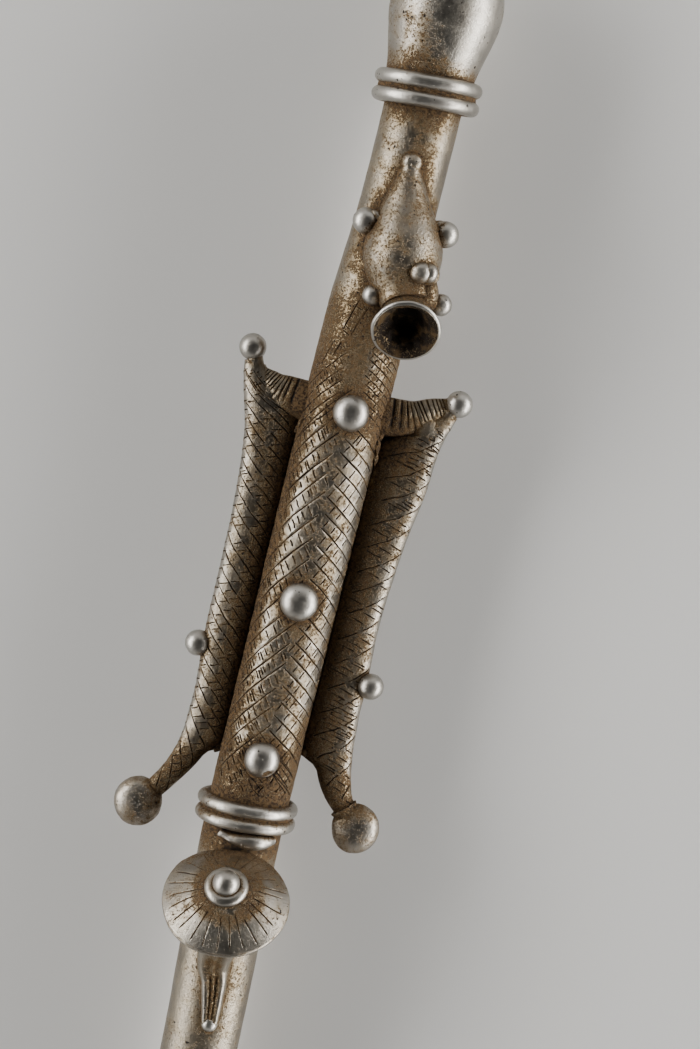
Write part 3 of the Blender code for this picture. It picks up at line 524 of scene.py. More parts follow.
def add_shaft():
    """The shaft from the upper collar to the foot: its carved stretch and both plain ends."""
    width = 2 * math.pi * CARVED_RADIUS
    strokes = cut_clear_of_bosses(shaft_strokes())
    sheet, faces = carved_sheet(width, CARVING_START, CARVING_END, SHAFT_COLUMNS, strokes)
    upper, upper_faces = grid_rows(width, np.linspace(-4.7, CARVING_START, 40), SHAFT_COLUMNS)
    lower_stations = np.concatenate([np.linspace(CARVING_END, 360.0, 50), np.linspace(368.0, 861.4, 56)])
    lower, lower_faces = grid_rows(width, lower_stations, SHAFT_COLUMNS)
    every = np.vstack([sheet, upper, lower])
    faces = faces + [tuple(i + len(sheet) for i in f) for f in upper_faces]
    faces += [tuple(i + len(sheet) + len(upper) for i in f) for f in lower_faces]
    flat, faces = wrapped(every, faces, width)
    depth, clear = carving(flat, strokes)
    angle = flat[:, 0] / CARVED_RADIUS - math.pi
    radius, sway = course(SHAFT_ROWS, flat[:, 1]).T
    base = np.column_stack([radius * np.sin(angle), flat[:, 1], radius * np.cos(angle)])
    lumps = 0.10 * grain(base, 13.0, 1) + 0.06 * grain(base, 3.6, 2) + 0.035 * grain(base, 1.7, 3)
    carved = smooth_step(CARVING_START, 84, flat[:, 1]) * smooth_step(252, 236, flat[:, 1])
    lumps += 0.06 * carved * grain(base, 1.3, 4)
    # Left of the front, under the ladder, the wax was worked up into rough crumbs.
    crumbs = smooth_step(82, 88, flat[:, 1]) * smooth_step(108, 100, flat[:, 1])
    crumbs *= np.exp(-((np.degrees(angle) + 32) / 15) ** 2)
    lumps += 0.22 * crumbs * grain(base, 1.5, 8)
    # The front of the carved stretch is rubbed flat and shallow.
    rubbed = np.exp(-((angle + 0.17) / 0.20) ** 2) * carved
    depth *= 1 - 0.62 * rubbed
    edge = np.clip(1 - np.abs(clear) / BURR_WIDTH, 0, 1) * (1 - rubbed)
    radius = radius + lumps + BURR * edge - depth
    points = np.column_stack([sway + radius * np.sin(angle), -flat[:, 1], radius * np.cos(angle)])
    faces = [tuple(reversed(f)) for f in faces]
    points, faces = closed_ends(flat, points, faces, flat[:, 1].min(), flat[:, 1].max(), True)
    # The cuts' raised edges are made lighter, partly wear and partly painted highlight, and the rubbed front
    # a little lighter from wear.
    polish_and_sheen = np.append(0.16 + 0.36 * edge * carved + 0.14 * rubbed, [0.0, 0.0])
    add_part(0, points, faces, np.append(np.clip(depth / 0.26, 0, 1), [0, 0]), polish_and_sheen)


def wing_join(wing, station):
    """1 where the wing runs into the side of the shaft, 0 where it stands clear."""
    start, end = wing.join
    return smooth_step(0, 1, np.minimum((station - start) / 8.5, (end + 8.5 - station) / 8.5))


def wing_points(wing, u, v):
    """Places on the smooth wing for points (u, v) of its sheet, before any carving."""
    reach, half = course(wing.rows, v).T
    lift = half * 9.6 / (2 * 7.2)
    join = wing_join(wing, v)
    radius, sway = course(SHAFT_ROWS, v).T
    shaft_side = radius + wing.side * sway
    edge = (1 - join) * (reach - half) + join * (shaft_side - 0.4)
    rim = 0.3 + join * 1.0
    root = edge - join * 0.5 * shaft_side
    front = np.where(u <= WING_OUTER, u, WING_WIDTH - u)
    sign = np.where(u <= WING_OUTER, 1.0, -1.0)
    inner = np.clip((WING_CREST - front) / (WING_CREST - WING_EDGE), 0, 1) * math.pi / 2
    outer = np.clip((WING_OUTER - front) / (WING_OUTER - WING_CREST), 0, 1) * math.pi / 2
    stub = np.clip(front / WING_EDGE, 0, 1)
    out = np.where(front > WING_CREST, reach + half * np.cos(outer), reach - (reach - edge) * np.sin(inner))
    height = np.where(front > WING_CREST, lift * np.sin(outer), rim + (lift - rim) * np.cos(inner))
    in_stub = front < WING_EDGE
    out = np.where(in_stub, root + (edge - root) * np.clip((stub - 0.3) / 0.7, 0, 1), out)
    height = np.where(in_stub, rim * np.clip(stub / 0.3, 0, 1), height)
    return np.column_stack([wing.side * out, -v, sign * height])


def wing_strokes(wing):
    """The lattice on a wing's front and back, and the nicks along its outer edge."""
    made = []
    low, high = wing.carved

    def put(back, a, b, *rest):
        if min(a[1], b[1]) < low or max(a[1], b[1]) > high:
            return
        ends = [(wing.net_start + wing.net_way * w, v) for w, v in (a, b)]
        made.append(stroke(*((WING_WIDTH - u if back else u, v) for u, v in ends), *rest))

    for back in (False, True):
        for rows in wing.nets:
            net(lambda *cut: put(back, *cut), *rows)
        for station in wing.nicks:
            v = station + draw.uniform(-0.3, 0.3)
            put(back, (-0.2, v), (draw.uniform(2.0, 3.6), v - draw.uniform(0.6, 1.3)), 0.52, 0.26)
    return made


def add_wing(wing):
    """A wing's bent bar with its lattice."""
    low, high = wing.rows[0][0], wing.rows[-1][0]
    strokes = wing_strokes(wing)
    sheet, faces = carved_sheet(WING_WIDTH, low, high, WING_COLUMNS, strokes)
    flat, faces = wrapped(sheet, faces, WING_WIDTH)
    depth, clear = carving(flat, strokes)
    edge = np.clip(1 - np.abs(clear) / BURR_WIDTH, 0, 1)
    depth -= BURR * edge
    step = 0.05
    u, v = flat.T
    base = wing_points(wing, u, v)
    across = wing_points(wing, (u + step) % WING_WIDTH, v) - wing_points(wing, (u - step) % WING_WIDTH, v)
    above, below = np.maximum(v - step, low), np.minimum(v + step, high)
    normal = -wing.side * np.cross(across, wing_points(wing, u, below) - wing_points(wing, u, above))
    normal /= np.maximum(np.linalg.norm(normal, axis=1)[:, None], 1e-9)
    if wing.side > 0:
        faces = [tuple(reversed(f)) for f in faces]
    lumps = 0.16 * grain(base, 9.0, 5) + 0.06 * grain(base, 2.8, 6) + 0.03 * grain(base, 1.4, 7)
    points = base + normal * (lumps - depth)[:, None]
    points, faces = closed_ends(flat, points, faces, low, high, wing.side > 0)
    # The outer edge is rubbed smooth. It and the cuts' raised edges are made lighter, partly wear and partly
    # painted highlight.
    rubbed = smooth_step(16.0, 20.5, np.where(u <= WING_OUTER, u, WING_WIDTH - u))
    polish_and_sheen = np.append(0.14 + 0.50 * rubbed + 0.22 * edge * (1 - rubbed), [0.0, 0.0])
    add_part(1, points, faces, np.append(np.clip(depth / 0.24, 0, 1), [0, 0]), polish_and_sheen)


def add_wing_ends(wing):
    """A wing's balls, its end disc, and the bars that run into them."""
    side, seed, rows = wing.side, wing.seed, wing.rows
    top = at(side * 36.0, rows[0][0] - 4.8, 0.0)
    ball(2, top, 4.6, seed=seed)
    shoulder = at(side * rows[1][1], rows[1][0], 0.0)
    neck, faces = tube([top, (top + shoulder) / 2, shoulder], [2.76, 2.7, 0.5 * rows[1][2]], 24, (0, 0, 1))
    add_part(3, neck, faces, None, 0.3)
    # Wax smoothed over the crease between the wing and its flap.
    crease = at(side * wing.crease[0], wing.crease[1], 0.1)
    ball(5, crease, 5.8, 40, (1.0, 1.08, 0.72), dent=0.03, seed=seed + 40, polish_and_sheen=0.2)
    reach, half = course(rows, 198.5)[0]
    ball(2, at(side * (reach + half + 1.4), 198.3, wing.ball_height), 4.5, seed=seed + 2)
    end = at(side * 37.2, wing.disc, 0.0)
    ball(2, end, 8.7, 56, (0.94, 1.0, 10.0 / 17.4), dent=0.035, seed=seed + 4, polish_and_sheen=0.7)
    # The bar runs on over the disc, and fades before its middle.
    station = rows[-1][0] - 5.0
    reach, half = course(rows, station)[0]
    start = at(side * reach, station, 0.0)
    spine = [start.lerp(end, share) for share in (0.0, 0.3, 0.6, 0.9)]
    neck, faces = tube(spine, [half - 0.4, 4.3, 5.0, 4.6], 32, (0, 0, 1))
    neck[:, 2] *= 0.86
    add_part(4, shaken(neck, 3.0, seed + 5, 0.10), faces, None, 0.3)


def add_flap(wing):
    """The striped gusset between a wing's top and the shaft."""
    # Each stripe is a row of points with a cut, and the rows between them stand proud.
    places = [0.0]
    cuts = [0.0]
    place = 0.30
    while place < 2.35:
        places += [place - 0.05, place, place + 0.05]
        cuts += [-BURR, draw.uniform(0.22, 0.42), -BURR]
        place += draw.uniform(0.14, 0.24)
    reads = course(wing.flap, places + [2.8, 3.0])
    sides = 48
    points = [at(wing.side * out, station, 0.0) for out, station, _ in reads]
    radii = reads[:, 2]
    made, faces = tube(points, radii, sides, (0, 0, 1))
    cut = np.zeros(len(made))
    for index, deep in enumerate(cuts + [0.0, 0.0]):
        ring = slice(1 + index * sides, 1 + (index + 1) * sides)
        middle = np.array(points[index])
        around = (made[ring] - middle) / radii[index]
        # Cuts fade out on the rounded lower rim, each at its own place.
        fade = draw.uniform(-0.75, -0.2)
        deep = deep * smooth_step(0.12, 0.35, np.abs(around[:, 2]))
        deep = deep * smooth_step(fade - 0.2, fade + 0.1, around[:, 1])
        made[ring] = middle + around * (radii[index] - deep)[:, None]
        cut[ring] = np.clip(deep / 0.3, 0, 1)
    made[:, 2] *= 0.70
    made[:, 2] += np.interp(np.abs(made[:, 0]), [4.0, 20.0, 33.0], [1.2, 0.6, 0.0])
    add_part(4, shaken(made, 2.5, 21, 0.09), faces, cut, 0.1)


def add_drips(wing):
    """Loose drips where the flap was waxed to the shaft, and ragged flash where the wing leaves it."""
    side = wing.side
    for drip in range(wing.drips):
        out, station, height = draw.uniform(13.2, 15.2), draw.uniform(104, 124), draw.uniform(1.5, 6.0)
        # No drip hangs clear of the shaft, whose middle is a little left of the line here.
        across = side * out + SHAFT_LEAN
        hug = min(1.0, CARVED_RADIUS / math.hypot(across, height))
        spot = at(across * hug - SHAFT_LEAN, station, height * hug)
        size = draw.uniform(0.7, 1.5)
        stretch = (draw.uniform(0.6, 1.0), draw.uniform(1.0, 2.6), 0.8)
        ball(3, spot, size, 14, stretch, side * 0.3, 0.25, 24 + drip, 0.1)
    for flash in range(4):
        across = side * draw.uniform(13.6, 16.2)
        spot = at(across, wing.corner + draw.uniform(-3.0, 2.0), draw.uniform(-0.5, 2.5))
        size = draw.uniform(0.8, 1.5)
        ball(3, spot, size, 14, (1.0, 1.7, 0.6), side * draw.uniform(0.1, 0.9), 0.35, 45 + flash, 0.1)


def arc(radius, height, size, first, last, steps, tall=None):
    """Rows of (radius, height) round a middle point, from one angle to another in degrees."""
    angles = np.radians(np.linspace(first, last, steps))
    return [(radius + size * math.cos(a), height + (tall or size) * math.sin(a)) for a in angles]


def bead(outer, middle, thickness):
    return arc(outer - thickness / 2, middle, thickness / 2, 84, -84, 9)


def add_ring_pair(radius, thickness, gap, core, place, seed, dull):
    """Two beads on one band, with rough earth packed in the groove between them."""
    half = (thickness + gap) / 2
    top = half + 0.45 * thickness
    profile = [(0.0, top), (core, top)] + bead(radius, half, thickness) + bead(radius, -half, thickness)
    points, faces = lathe(profile + [(core, -top), (0.0, -top)], 120)
    round_share = np.linalg.norm(points[:, :2], axis=1) / radius
    lift = 0.22 * grain(points * (1, 1, 0.15), 8.0, seed + 2)
    swell(points, (0.010, 9.0, seed), (0.003, 2.5, seed + 1))
    points[:, 2] += lift * round_share
    points = moved(points, place)
    # The rings are made light, as wear and painted highlight, and the left end is duller.
    add_part(2, points, faces, None, 0.92 - dull * smooth_step(-4.0, -14.0, points[:, 0]))

    depth = radius - 1.75
    height = 0.5 * gap + 0.25
    profile = [(0.0, height)] + [(depth, height * z) for z in (1.0, 0.5, 0.0, -0.5, -1.0)] + [(0.0, -height)]
    points, faces = lathe(profile, 150)
    swell(points, (0.36 / radius, 1.3, seed + 3), (0.24 / radius, 5.0, seed + 4))
    points[:, 2] += 0.25 * grain(points, 1.6, seed + 5)
    add_part(4, moved(points, place), faces, None, 0.0, 0.6)


def add_head():
    """The pear-shaped knob with its top ball, and both pairs of rings."""
    base = 2.115
    height = 45.5
    widest = 19.0
    crown = 50.2
    equator = base + 0.58 * height
    profile = [(0.0, crown)] + arc(0.0, equator, widest, 90, 0, 25, crown - equator)[1:]
    rows = ((0.0, widest), (0.20, 18.5), (0.50, 16.8), (0.75, 15.3), (0.92, 14.6), (1.0, 14.8))
    profile += side_profile(rows, 28, equator, base)[1:] + [(0.0, base)]
    points, faces = lathe(profile, 96)
    swell(points, (0.006, 14.0, 31), (0.002, 4.0, 32))
    add_part(1, moved(points, Matrix.Translation((-0.4, 0, 0)) @ UP), faces, None, 0.65)
    finial = 5.6
    ball(3, at(-0.4, finial - TOP_HEIGHT, 0.0), finial, dent=0.004, seed=33)
    tilt = Matrix.Rotation(math.radians(3.4), 4, "Z") @ UP
    add_ring_pair(radius=18.2, thickness=5.0, gap=1.0, core=7.83, place=tilt, seed=34, dull=0.0)
    lower = Matrix.Translation(at(shaft_at(LOWER_RINGS)[1], LOWER_RINGS, 0))
    add_ring_pair(radius=17.4, thickness=4.5, gap=0.5, core=8.1, place=lower @ tilt, seed=37, dull=0.08)


def add_half_ring():
    """The broken half ring under the lower rings, ragged at its left end."""
    station = 256.9
    radius, sway = shaft_at(station)
    radius += 0.9
    points = []
    radii = []
    for share in np.arange(41) / 40:
        angle = math.radians(-28 + 78 * share)
        drop = 1.2 * math.cos(math.pi * (share - 0.4))
        points.append(at(sway + radius * math.sin(angle), station + drop, radius * math.cos(angle)))
        radii.append(2.75 * (0.45 + 0.55 * math.sin(math.pi * min(max(share, 0.05), 0.97) ** 1.5)))
    made, faces = tube(points, radii, 28, (0, 1, 0))
    ragged = 0.20 + 0.40 * smooth_step(4.0, -7.0, made[:, 0])
    add_part(3, shaken(made, 3.4, 41, ragged[:, None]), faces, None, 0.92)


def add_foot():
    """A bead, a plain bulb and a flat end."""
    height = 48.0
    widest, end = 18.9, 9.5
    swelling = 0.46 * height
    place = Matrix.Translation(at(1.05, FOOT_STATION, 0.0)) @ UP
    profile = [(0.0, height + 2.07), (7.32, height + 2.07)] + bead(15.7, height, 4.6)
    rows = ((0.0, 13.4), (0.25, 15.0), (0.55, 17.5), (0.80, 18.7), (1.0, widest))
    profile += side_profile(rows, 16, height - 2.53, swelling)
    top = math.radians(62)
    for angle in top * np.arange(1, 15) / 14:
        ease = (1 - math.cos(angle)) / (1 - math.cos(top))
        profile.append((widest + (end - widest) * ease, swelling * (1 - math.sin(angle) / math.sin(top))))
    points, faces = lathe(profile + [(0.0, 0.0)], 80)
    swell(points, (0.006, 12.0, 51), (0.002, 4.0, 52), mask=smooth_step(0.0, 3.0, points[:, 2]))
    add_part(1, moved(points, place), faces, None, 0.5)


def animal_at(share):
    """The middle of the animal's body and its radius, at a share of its length."""
    side, lift, radius = course(ANIMAL_ROWS, share)[0]
    station = ANIMAL_STATION + share * ANIMAL_LENGTH
    height = shaft_at(station)[0] + lift * ANIMAL_LENGTH
    return at(1.0 + side * ANIMAL_LENGTH, station, height), radius * ANIMAL_RADIUS


def cup_place():
    throat = animal_at(1.0)[0]
    turn = Matrix.Rotation(CUP_YAW, 4, "Z") @ Matrix.Rotation(CUP_PITCH, 4, "X")
    way_out = turn @ Vector((0, 0, 1))
    mouth = throat + way_out * ((CUP_REACH - throat.z) / way_out.z) + turn @ Vector((0, -CUP_DROP, 0))
    return Matrix.Translation(mouth) @ turn


def add_animal():
    """The body with its four limbs and brow. The cup is its head."""
    reads = [animal_at(share) for share in np.arange(55) / 54]
    points, faces = tube([r[0] for r in reads], [r[1] for r in reads], 64, (0, 0, 1))
    add_part(1, shaken(shaken(points, 6.0, 61, 0.28), 2.2, 64, 0.07), faces, None, 0.35)
    ball(3, animal_at(0.0)[0], 3.3, 40, (1.05, 1.05, 0.8), dent=0.06, seed=67, polish_and_sheen=0.45)
    sideways = Vector((math.cos(CUP_YAW), math.sin(CUP_YAW), 0))
    for index in range(4):
        add_limb(index, sideways)

    # The brow is two soft lobes on one low swelling.
    brow, radius = animal_at(0.80)
    brow = brow + Vector((6.8, 1.8, radius * 0.88))
    ball(3, brow + Vector((-0.9, 0.7, -0.5)), 3.5, 32, (1.05, 1.0, 0.9), 0.2, 0.04, 75, 0.8)
    ball(4, brow + Vector((1.8, 1.1, -0.9)), 2.9, 28, (1.0, 1.08, 0.9), 0.0, 0.04, 76, 0.8)
    ball(5, brow + Vector((0.3, 1.0, -2.5)), 4.1, 32, (1.25, 0.95, 0.62), -0.1, 0.06, 77, 0.2)
    # The neck is fuller on its right.
    root, radius = animal_at(0.93)
    neck = root + sideways * 0.72 * radius + Vector((0, 0.6, 1.0))
    ball(5, neck, 4.6, 32, (1.0, 1.25, 0.9), 0.2, 0.08, 78, 0.1)


def add_limb(index, sideways):
    """A stub out of the body with a ball at its end: two at the shoulders and two by the cup."""
    share, side, size, reach, lift, heft = LIMBS[index]
    root, radius = animal_at(share)
    out = sideways * side
    centre = root + out * (radius * reach + size * 0.55) + Vector((0, 0, lift * ANIMAL_LENGTH))
    ball(3, centre, size, dent=0.02, seed=68 + index, polish_and_sheen=0.9)
    if index < 2:
        # The shoulders' wax was pressed on, and left a curled lip.
        lip = centre + Vector((-side * 0.78 * size, 0.50 * size, 0.36 * size))
        ball(5, lip, 0.50 * size, 24, (1.35, 0.72, 0.8), side * 0.45, 0.08, 72 + index, 0.8)
    inner = root + out * radius * 0.4 + Vector((0, 0.5 * heft * size, 0.25 * heft * size))
    is_last = index == 3
    waist = (0.30, 0.62, 0.56, 0.56, 0.70) if is_last else (0.30, 0.80, 0.80, 0.76, 0.80)
    shares = (0.0, 0.25, 0.5, 0.75, 1.0)
    radii = [size * (heft * (1 - s) + 0.9 * s) * w for s, w in zip(shares, waist)]
    made, faces = tube([inner.lerp(centre, s) for s in shares], radii, 32, (0, 0.2, 1))
    # The last limb's peg, in the recess by the cup, is dull and soiled, partly as painted shade.
    add_part(4, made, faces, None, 0.0 if is_last else 0.4, 0.5 if is_last else 0.0)


def add_cup():
    """The open cup, and the body that its hollow is cut with."""
    place = cup_place()
    back = -(CUP_REACH - animal_at(1.0)[0].z) / math.cos(CUP_PITCH)
    lip = CUP_RADIUS - CUP_LIP
    outer = [(0.0, 0.0)] + arc(lip, -CUP_LIP, CUP_LIP, 90, -60, 9)
    rows = ((0, *outer[-1]), (1, 0.90 * CUP_RADIUS, 0.20 * back), (2, 0.76 * CUP_RADIUS, 0.42 * back),
            (3, 0.70 * CUP_RADIUS, 0.70 * back), (4, 0.68 * CUP_RADIUS, back))
    outer += [tuple(row) for row in course(rows, 4 * np.arange(1, 25) / 24)]
    points, faces = lathe(outer + [(0.0, back)], 96)
    rim = smooth_step(-2.2, -1.2, points[:, 2])
    add_part(2, moved(shaken(points, 4.0, 76, 0.12), place), faces, None, 0.3 + 0.7 * rim)

    mouth = lip - 0.2 * CUP_LIP
    bottom = 0.36 * CUP_RADIUS
    rows = ((0, mouth, 0.0), (1, lip - CUP_WALL, -0.16 * CUP_DEPTH),
            (2, 0.76 * CUP_RADIUS - CUP_WALL, -0.45 * CUP_DEPTH),
            (3, 0.60 * CUP_RADIUS - CUP_WALL, -0.8 * CUP_DEPTH), (4, bottom, -CUP_DEPTH))
    bore = [(0.0, 4.0), (mouth + 0.9, 4.0), (mouth + 0.35, 0.35)]
    bore += [tuple(row) for row in course(rows, 4 * np.arange(33) / 32)]
    bore += [(bottom * share, -CUP_DEPTH * (1.0 + 0.03 * (1 - share))) for share in (0.8, 0.55, 0.3)]
    points, faces = lathe(bore + [(0.0, -1.03 * CUP_DEPTH)], 96)
    deep = smooth_step(-1.2, -4.5, points[:, 2])
    rough = 0.75 * grain(points, 2.8, 81) + 0.40 * grain(points, 1.2, 82)
    points[:, :2] *= 1 - (deep * (rough + 0.1) / 9.0)[:, None]
    points[:, 2] += deep * (0.6 * rough + 0.45)
    return moved(points, place), faces


def add_bosses():
    for index, ((station, side), radius) in enumerate(zip(BOSSES, (6.2, 6.55, 6.1))):
        middle = at(side, station, shaft_at(station)[0] - 0.6)
        ball(1, middle, radius, 56, (0.98, 1.0, 0.86 * 6.0 / radius), dent=0.014, seed=85 + index)
    # A chip in the last one's lower right.
    points, _, looks = groups[1][-1]
    chip = np.array(middle) + (3.1, -4.2, 2.6)
    dent = smooth_step(2.3, 0.9, np.linalg.norm(points - chip, axis=1) + 0.7 * grain(points, 1.3, 89))
    points += dent[:, None] * (0.75 * (np.array(middle) - points) / 6.0)
    looks[:, 1] -= 0.7 * dent


def shade_rise(share):
    return SHADE_HEIGHT * (1 - share ** 1.5)


def shade_stretch(angle):
    corner = np.maximum(np.cos(angle - math.radians(143)), 0.0) ** 8
    lean = 0.030 * np.cos(angle - math.radians(124)) + 0.018 * np.cos(2 * (angle + SHADE_YAW))
    return 1 + lean + 0.050 * corner


def shade_rays():
    """Where each ray runs: its bearing, where it begins and stops, and how deep it is."""
    rays = []
    first = bearing = 0.07
    for _ in range(SHADE_RAYS):
        faint = 0.5 if 0.6 < bearing < 2.6 else 1.0
        begin, stop = draw.uniform(0.38, 0.52), draw.uniform(0.90, 0.99)
        rays.append((bearing, begin, stop, faint * draw.uniform(0.16, 0.32)))
        bearing += 2 * math.pi / SHADE_RAYS * draw.uniform(0.72, 1.28)
    spread = 2 * math.pi / (bearing - first)
    return [((ray[0] - first) * spread + first, *ray[1:]) for ray in rays]


def add_shade():
    """A hand-made dome with uneven rays cut from near its crown almost to its edge."""
    turn = Matrix.Rotation(SHADE_YAW, 4, "Z") @ Matrix.Rotation(-SHADE_PITCH, 4, "X")
    place = Matrix.Translation(at(SHADE_SIDE, SHADE_STATION, SHADE_REACH)) @ turn
    rays = shade_rays()
    points = [(0.0, 0.0, SHADE_HEIGHT)]
    cut = [0.0]

    def add_ring(share, height=None):
        """Six points for each ray, which is cut only where no height is given."""
        for index, (bearing, begin, stop, depth) in enumerate(rays):
            after = rays[(index + 1) % SHADE_RAYS][0] + (2 * math.pi if index == SHADE_RAYS - 1 else 0)
            # Rays wander a little, and swell in their middle.
            drift = 0.07 * math.sin(2.1 * share + 1.7 * index) * (share - 0.4)
            live = smooth_step(begin, begin + 0.10, share) * (1 - smooth_step(stop - 0.08, stop, share))
            if height is not None:
                live = 0.0
            half = (0.14 + 0.15 * live) / (share * SHADE_RADIUS)
            near = half + (0.22 / (share * SHADE_RADIUS) if share > 0.3 else 0.008)
            middle = 0.5 * (after - bearing)
            for k, turned in enumerate((-near, -half, 0.0, half, near, middle)):
                angle = bearing + drift + turned
                radius = share * SHADE_RADIUS * float(shade_stretch(angle))
                sunk = depth * live if k == 2 else 0.0
                level = shade_rise(share) - sunk if height is None else height
                points.append((radius * math.cos(angle), radius * math.sin(angle), level))
                cut.append(min(sunk / 0.22, 1.0))

    shares = np.concatenate([[0.12, 0.24, 0.33], np.linspace(0.38, 0.97, 22), [0.985]])
    rim = arc(SHADE_RADIUS - 1.0, -1.0, 1.0, 50, -90, 8)
    rim += [(0.93 * SHADE_RADIUS, -1.5), (0.5 * SHADE_RADIUS, -1.2), (0.2 * SHADE_RADIUS, -1.2)]
    for share in shares:
        add_ring(share)
    for radius, height in rim:
        add_ring(radius / SHADE_RADIUS, height)
    points = np.array(points + [(0.0, 0.0, -1.2)])
    points[:, 2] += 0.30 * grain(points, 9.0, 91) + 0.07 * grain(points, 2.5, 92)
    swell(points, (0.016, 9.0, 93))
    faces = ring_faces(len(shares) + len(rim), 6 * SHADE_RAYS)
    add_part(1, moved(points, place), faces, np.array(cut + [0.0]), 0.5)

    seat = shade_rise(6.1 / 21.0)
    profile = [(0.0, seat + 1.24), (2.6, seat + 1.24)] + arc(5.35, seat + 0.80, 2.05, 150, -60, 15)
    points, faces = lathe(profile + [(5.35, seat - 1.55), (0.0, seat - 1.55)], 72)
    swell(points, (0.018, 6.0, 94))
    add_part(2, moved(points, place), faces, None, 0.85)
    ball(3, place @ Vector((0, 0, seat + 3.1)), 4.6, 48, dent=0.008, seed=95)
    add_horn(place)


def horn_rim(angles, share):
    """The horn's section: two ridges with a channel between them. Angle 0 faces out of the shaft."""
    off = np.angle(np.exp(1j * angles))
    lower = smooth_step(0.63, 0.69, share)
    groove = 0.62 * smooth_step(0.28, 0.38, share) + 0.38 * lower
    channel = np.exp(-(off / 0.48) ** 4)
    rib = np.exp(-(off / 0.17) ** 2)
    ridge = np.exp(-((np.abs(off) - 0.80) / 0.20) ** 2)
    return 1 - groove * (0.34 * channel - 0.15 * rib - 0.05 * ridge) - 0.06 * lower


def add_horn(place):
    """The bar under the shade: plain at first, then with two ridges and a groove, down to a small ball."""
    face = shaft_at(HORN_STATION)[0]
    span = HORN_STATION - SHADE_STATION
    nodes = (
        place @ Vector((0, 0, -0.6)),
        place @ Vector((0, -3.0, -8.0)),
        at(0.30 * HORN_SIDE, SHADE_STATION + 0.50 * span, face + 2.0),
        at(0.66 * HORN_SIDE, SHADE_STATION + 0.70 * span, face + 0.8),
        at(HORN_SIDE, HORN_STATION, face),
    )
    shares = (1.25, 1.12, 0.95, 0.76, 0.50)
    rows = [(index, *point, share * HORN_RADIUS) for index, (point, share) in enumerate(zip(nodes, shares))]
    steps, sides = 44, 56
    reads = course(rows, 4 * np.arange(steps + 1) / steps)
    made, faces = tube(reads[:, :3], reads[:, 3], sides, (1, 0, 0), horn_rim)
    # The ridges are made lighter, as wear and painted highlight, and the channel between them holds brown
    # soil that is partly painted shade.
    off = np.angle(np.exp(2j * math.pi * np.arange(sides) / sides))
    ridges = np.exp(-((np.abs(off) - 0.85) / 0.38) ** 2)
    lower = smooth_step(0.60, 0.72, np.repeat(np.arange(steps + 1) / steps, sides))
    ridges = np.concatenate([[0.0], np.tile(ridges, steps + 1) * (0.7 + 0.3 * lower), [0.0]])
    add_part(2, shaken(made, 3.0, 96, 0.12), faces, None, 0.55 * ridges, 0.62 - 0.50 * ridges)
    ball(3, nodes[-1] + Vector((0, -0.4, 0.5)), 2.8, dent=0.02, seed=99)


def placed(name, data):
    """A new object in the scene."""
    thing = bpy.data.objects.new(name, data)
    bpy.context.scene.collection.objects.link(thing)
    return thing


def to_object(name, parts):
    """One mesh object from closed bodies."""
    points = []
    faces = []
    for verts, polygons, _ in parts:
        base = len(points)
        points.extend(map(tuple, verts))
        faces.extend(tuple(base + i for i in polygon) for polygon in polygons)
    mesh = bpy.data.meshes.new(name)
    mesh.from_pydata(points, [], faces)
    return placed(name, mesh)


def combine(target, tool, operation):
    modifier = target.modifiers.new(tool.name, "BOOLEAN")
    modifier.operation = operation
    modifier.solver = "MANIFOLD"
    modifier.object = tool
    graph = bpy.context.evaluated_depsgraph_get()
    mesh = bpy.data.meshes.new_from_object(target.evaluated_get(graph))
    target.modifiers.clear()
    old = target.data
    target.data = mesh
    bpy.data.meshes.remove(old)
    bpy.data.objects.remove(tool, do_unlink=True)


def drop_loose_bits(skin):
    """Keeps the one large body: joining shuts a few slivers inside it."""
    mesh = bmesh.new()
    mesh.from_mesh(skin.data)
    for vert in mesh.verts:
        vert.tag = False
    bodies = []
    for first in mesh.verts:
        if first.tag:
            continue
        first.tag = True
        body = [first]
        for vert in body:
            for edge in vert.link_edges:
                other = edge.other_vert(vert)
                if not other.tag:
                    other.tag = True
                    body.append(other)
        bodies.append(body)
    largest = max(bodies, key=len)
    loose = [vert for body in bodies if body is not largest for vert in body]
    bmesh.ops.delete(mesh, geom=loose, context="VERTS")
    mesh.to_mesh(skin.data)
    mesh.free()


def build_skin():
    """Makes every form and joins them, one group after the other."""
    add_shaft()
    add_head()
    add_animal()
    bore = add_cup()
    add_bosses()
    for wing in (LEFT_WING, RIGHT_WING):
        add_wing(wing)
        add_wing_ends(wing)
        add_flap(wing)
        add_drips(wing)
    add_half_ring()
    add_shade()
    add_foot()
    skin = to_object("staff_skin", groups[0])
    for group in sorted(groups)[1:]:
        combine(skin, to_object("group_%d" % group, groups[group]), "UNION")
    # Full soil inside the cup's hollow: the metal paints it near black as painted shade.
    add_part(9, *bore, soil_and_shade=1.0)
    combine(skin, to_object("bore", groups[9]), "DIFFERENCE")
    drop_loose_bits(skin)
    return skin


def keep_looks(skin):
    """Carries each point's carving, polish and painted sheen, and soil and painted shade over to the joined
    skin.
    """
    points = np.vstack([verts for parts in groups.values() for verts, _, _ in parts])
    looks = np.vstack([values for parts in groups.values() for _, _, values in parts])
    tree = KDTree(len(points))
    for index, point in enumerate(points):
        tree.insert(point, index)
    tree.balance()
    found = np.zeros((len(skin.data.vertices), 3))
    for vertex in skin.data.vertices:
        _, index, gap = tree.find(vertex.co)
        found[vertex.index] = looks[index]
        if gap > 0.02:
            # A point on the line where two forms meet: no carving, polish or sheen.
            found[vertex.index, :2] = 0.0
    return found


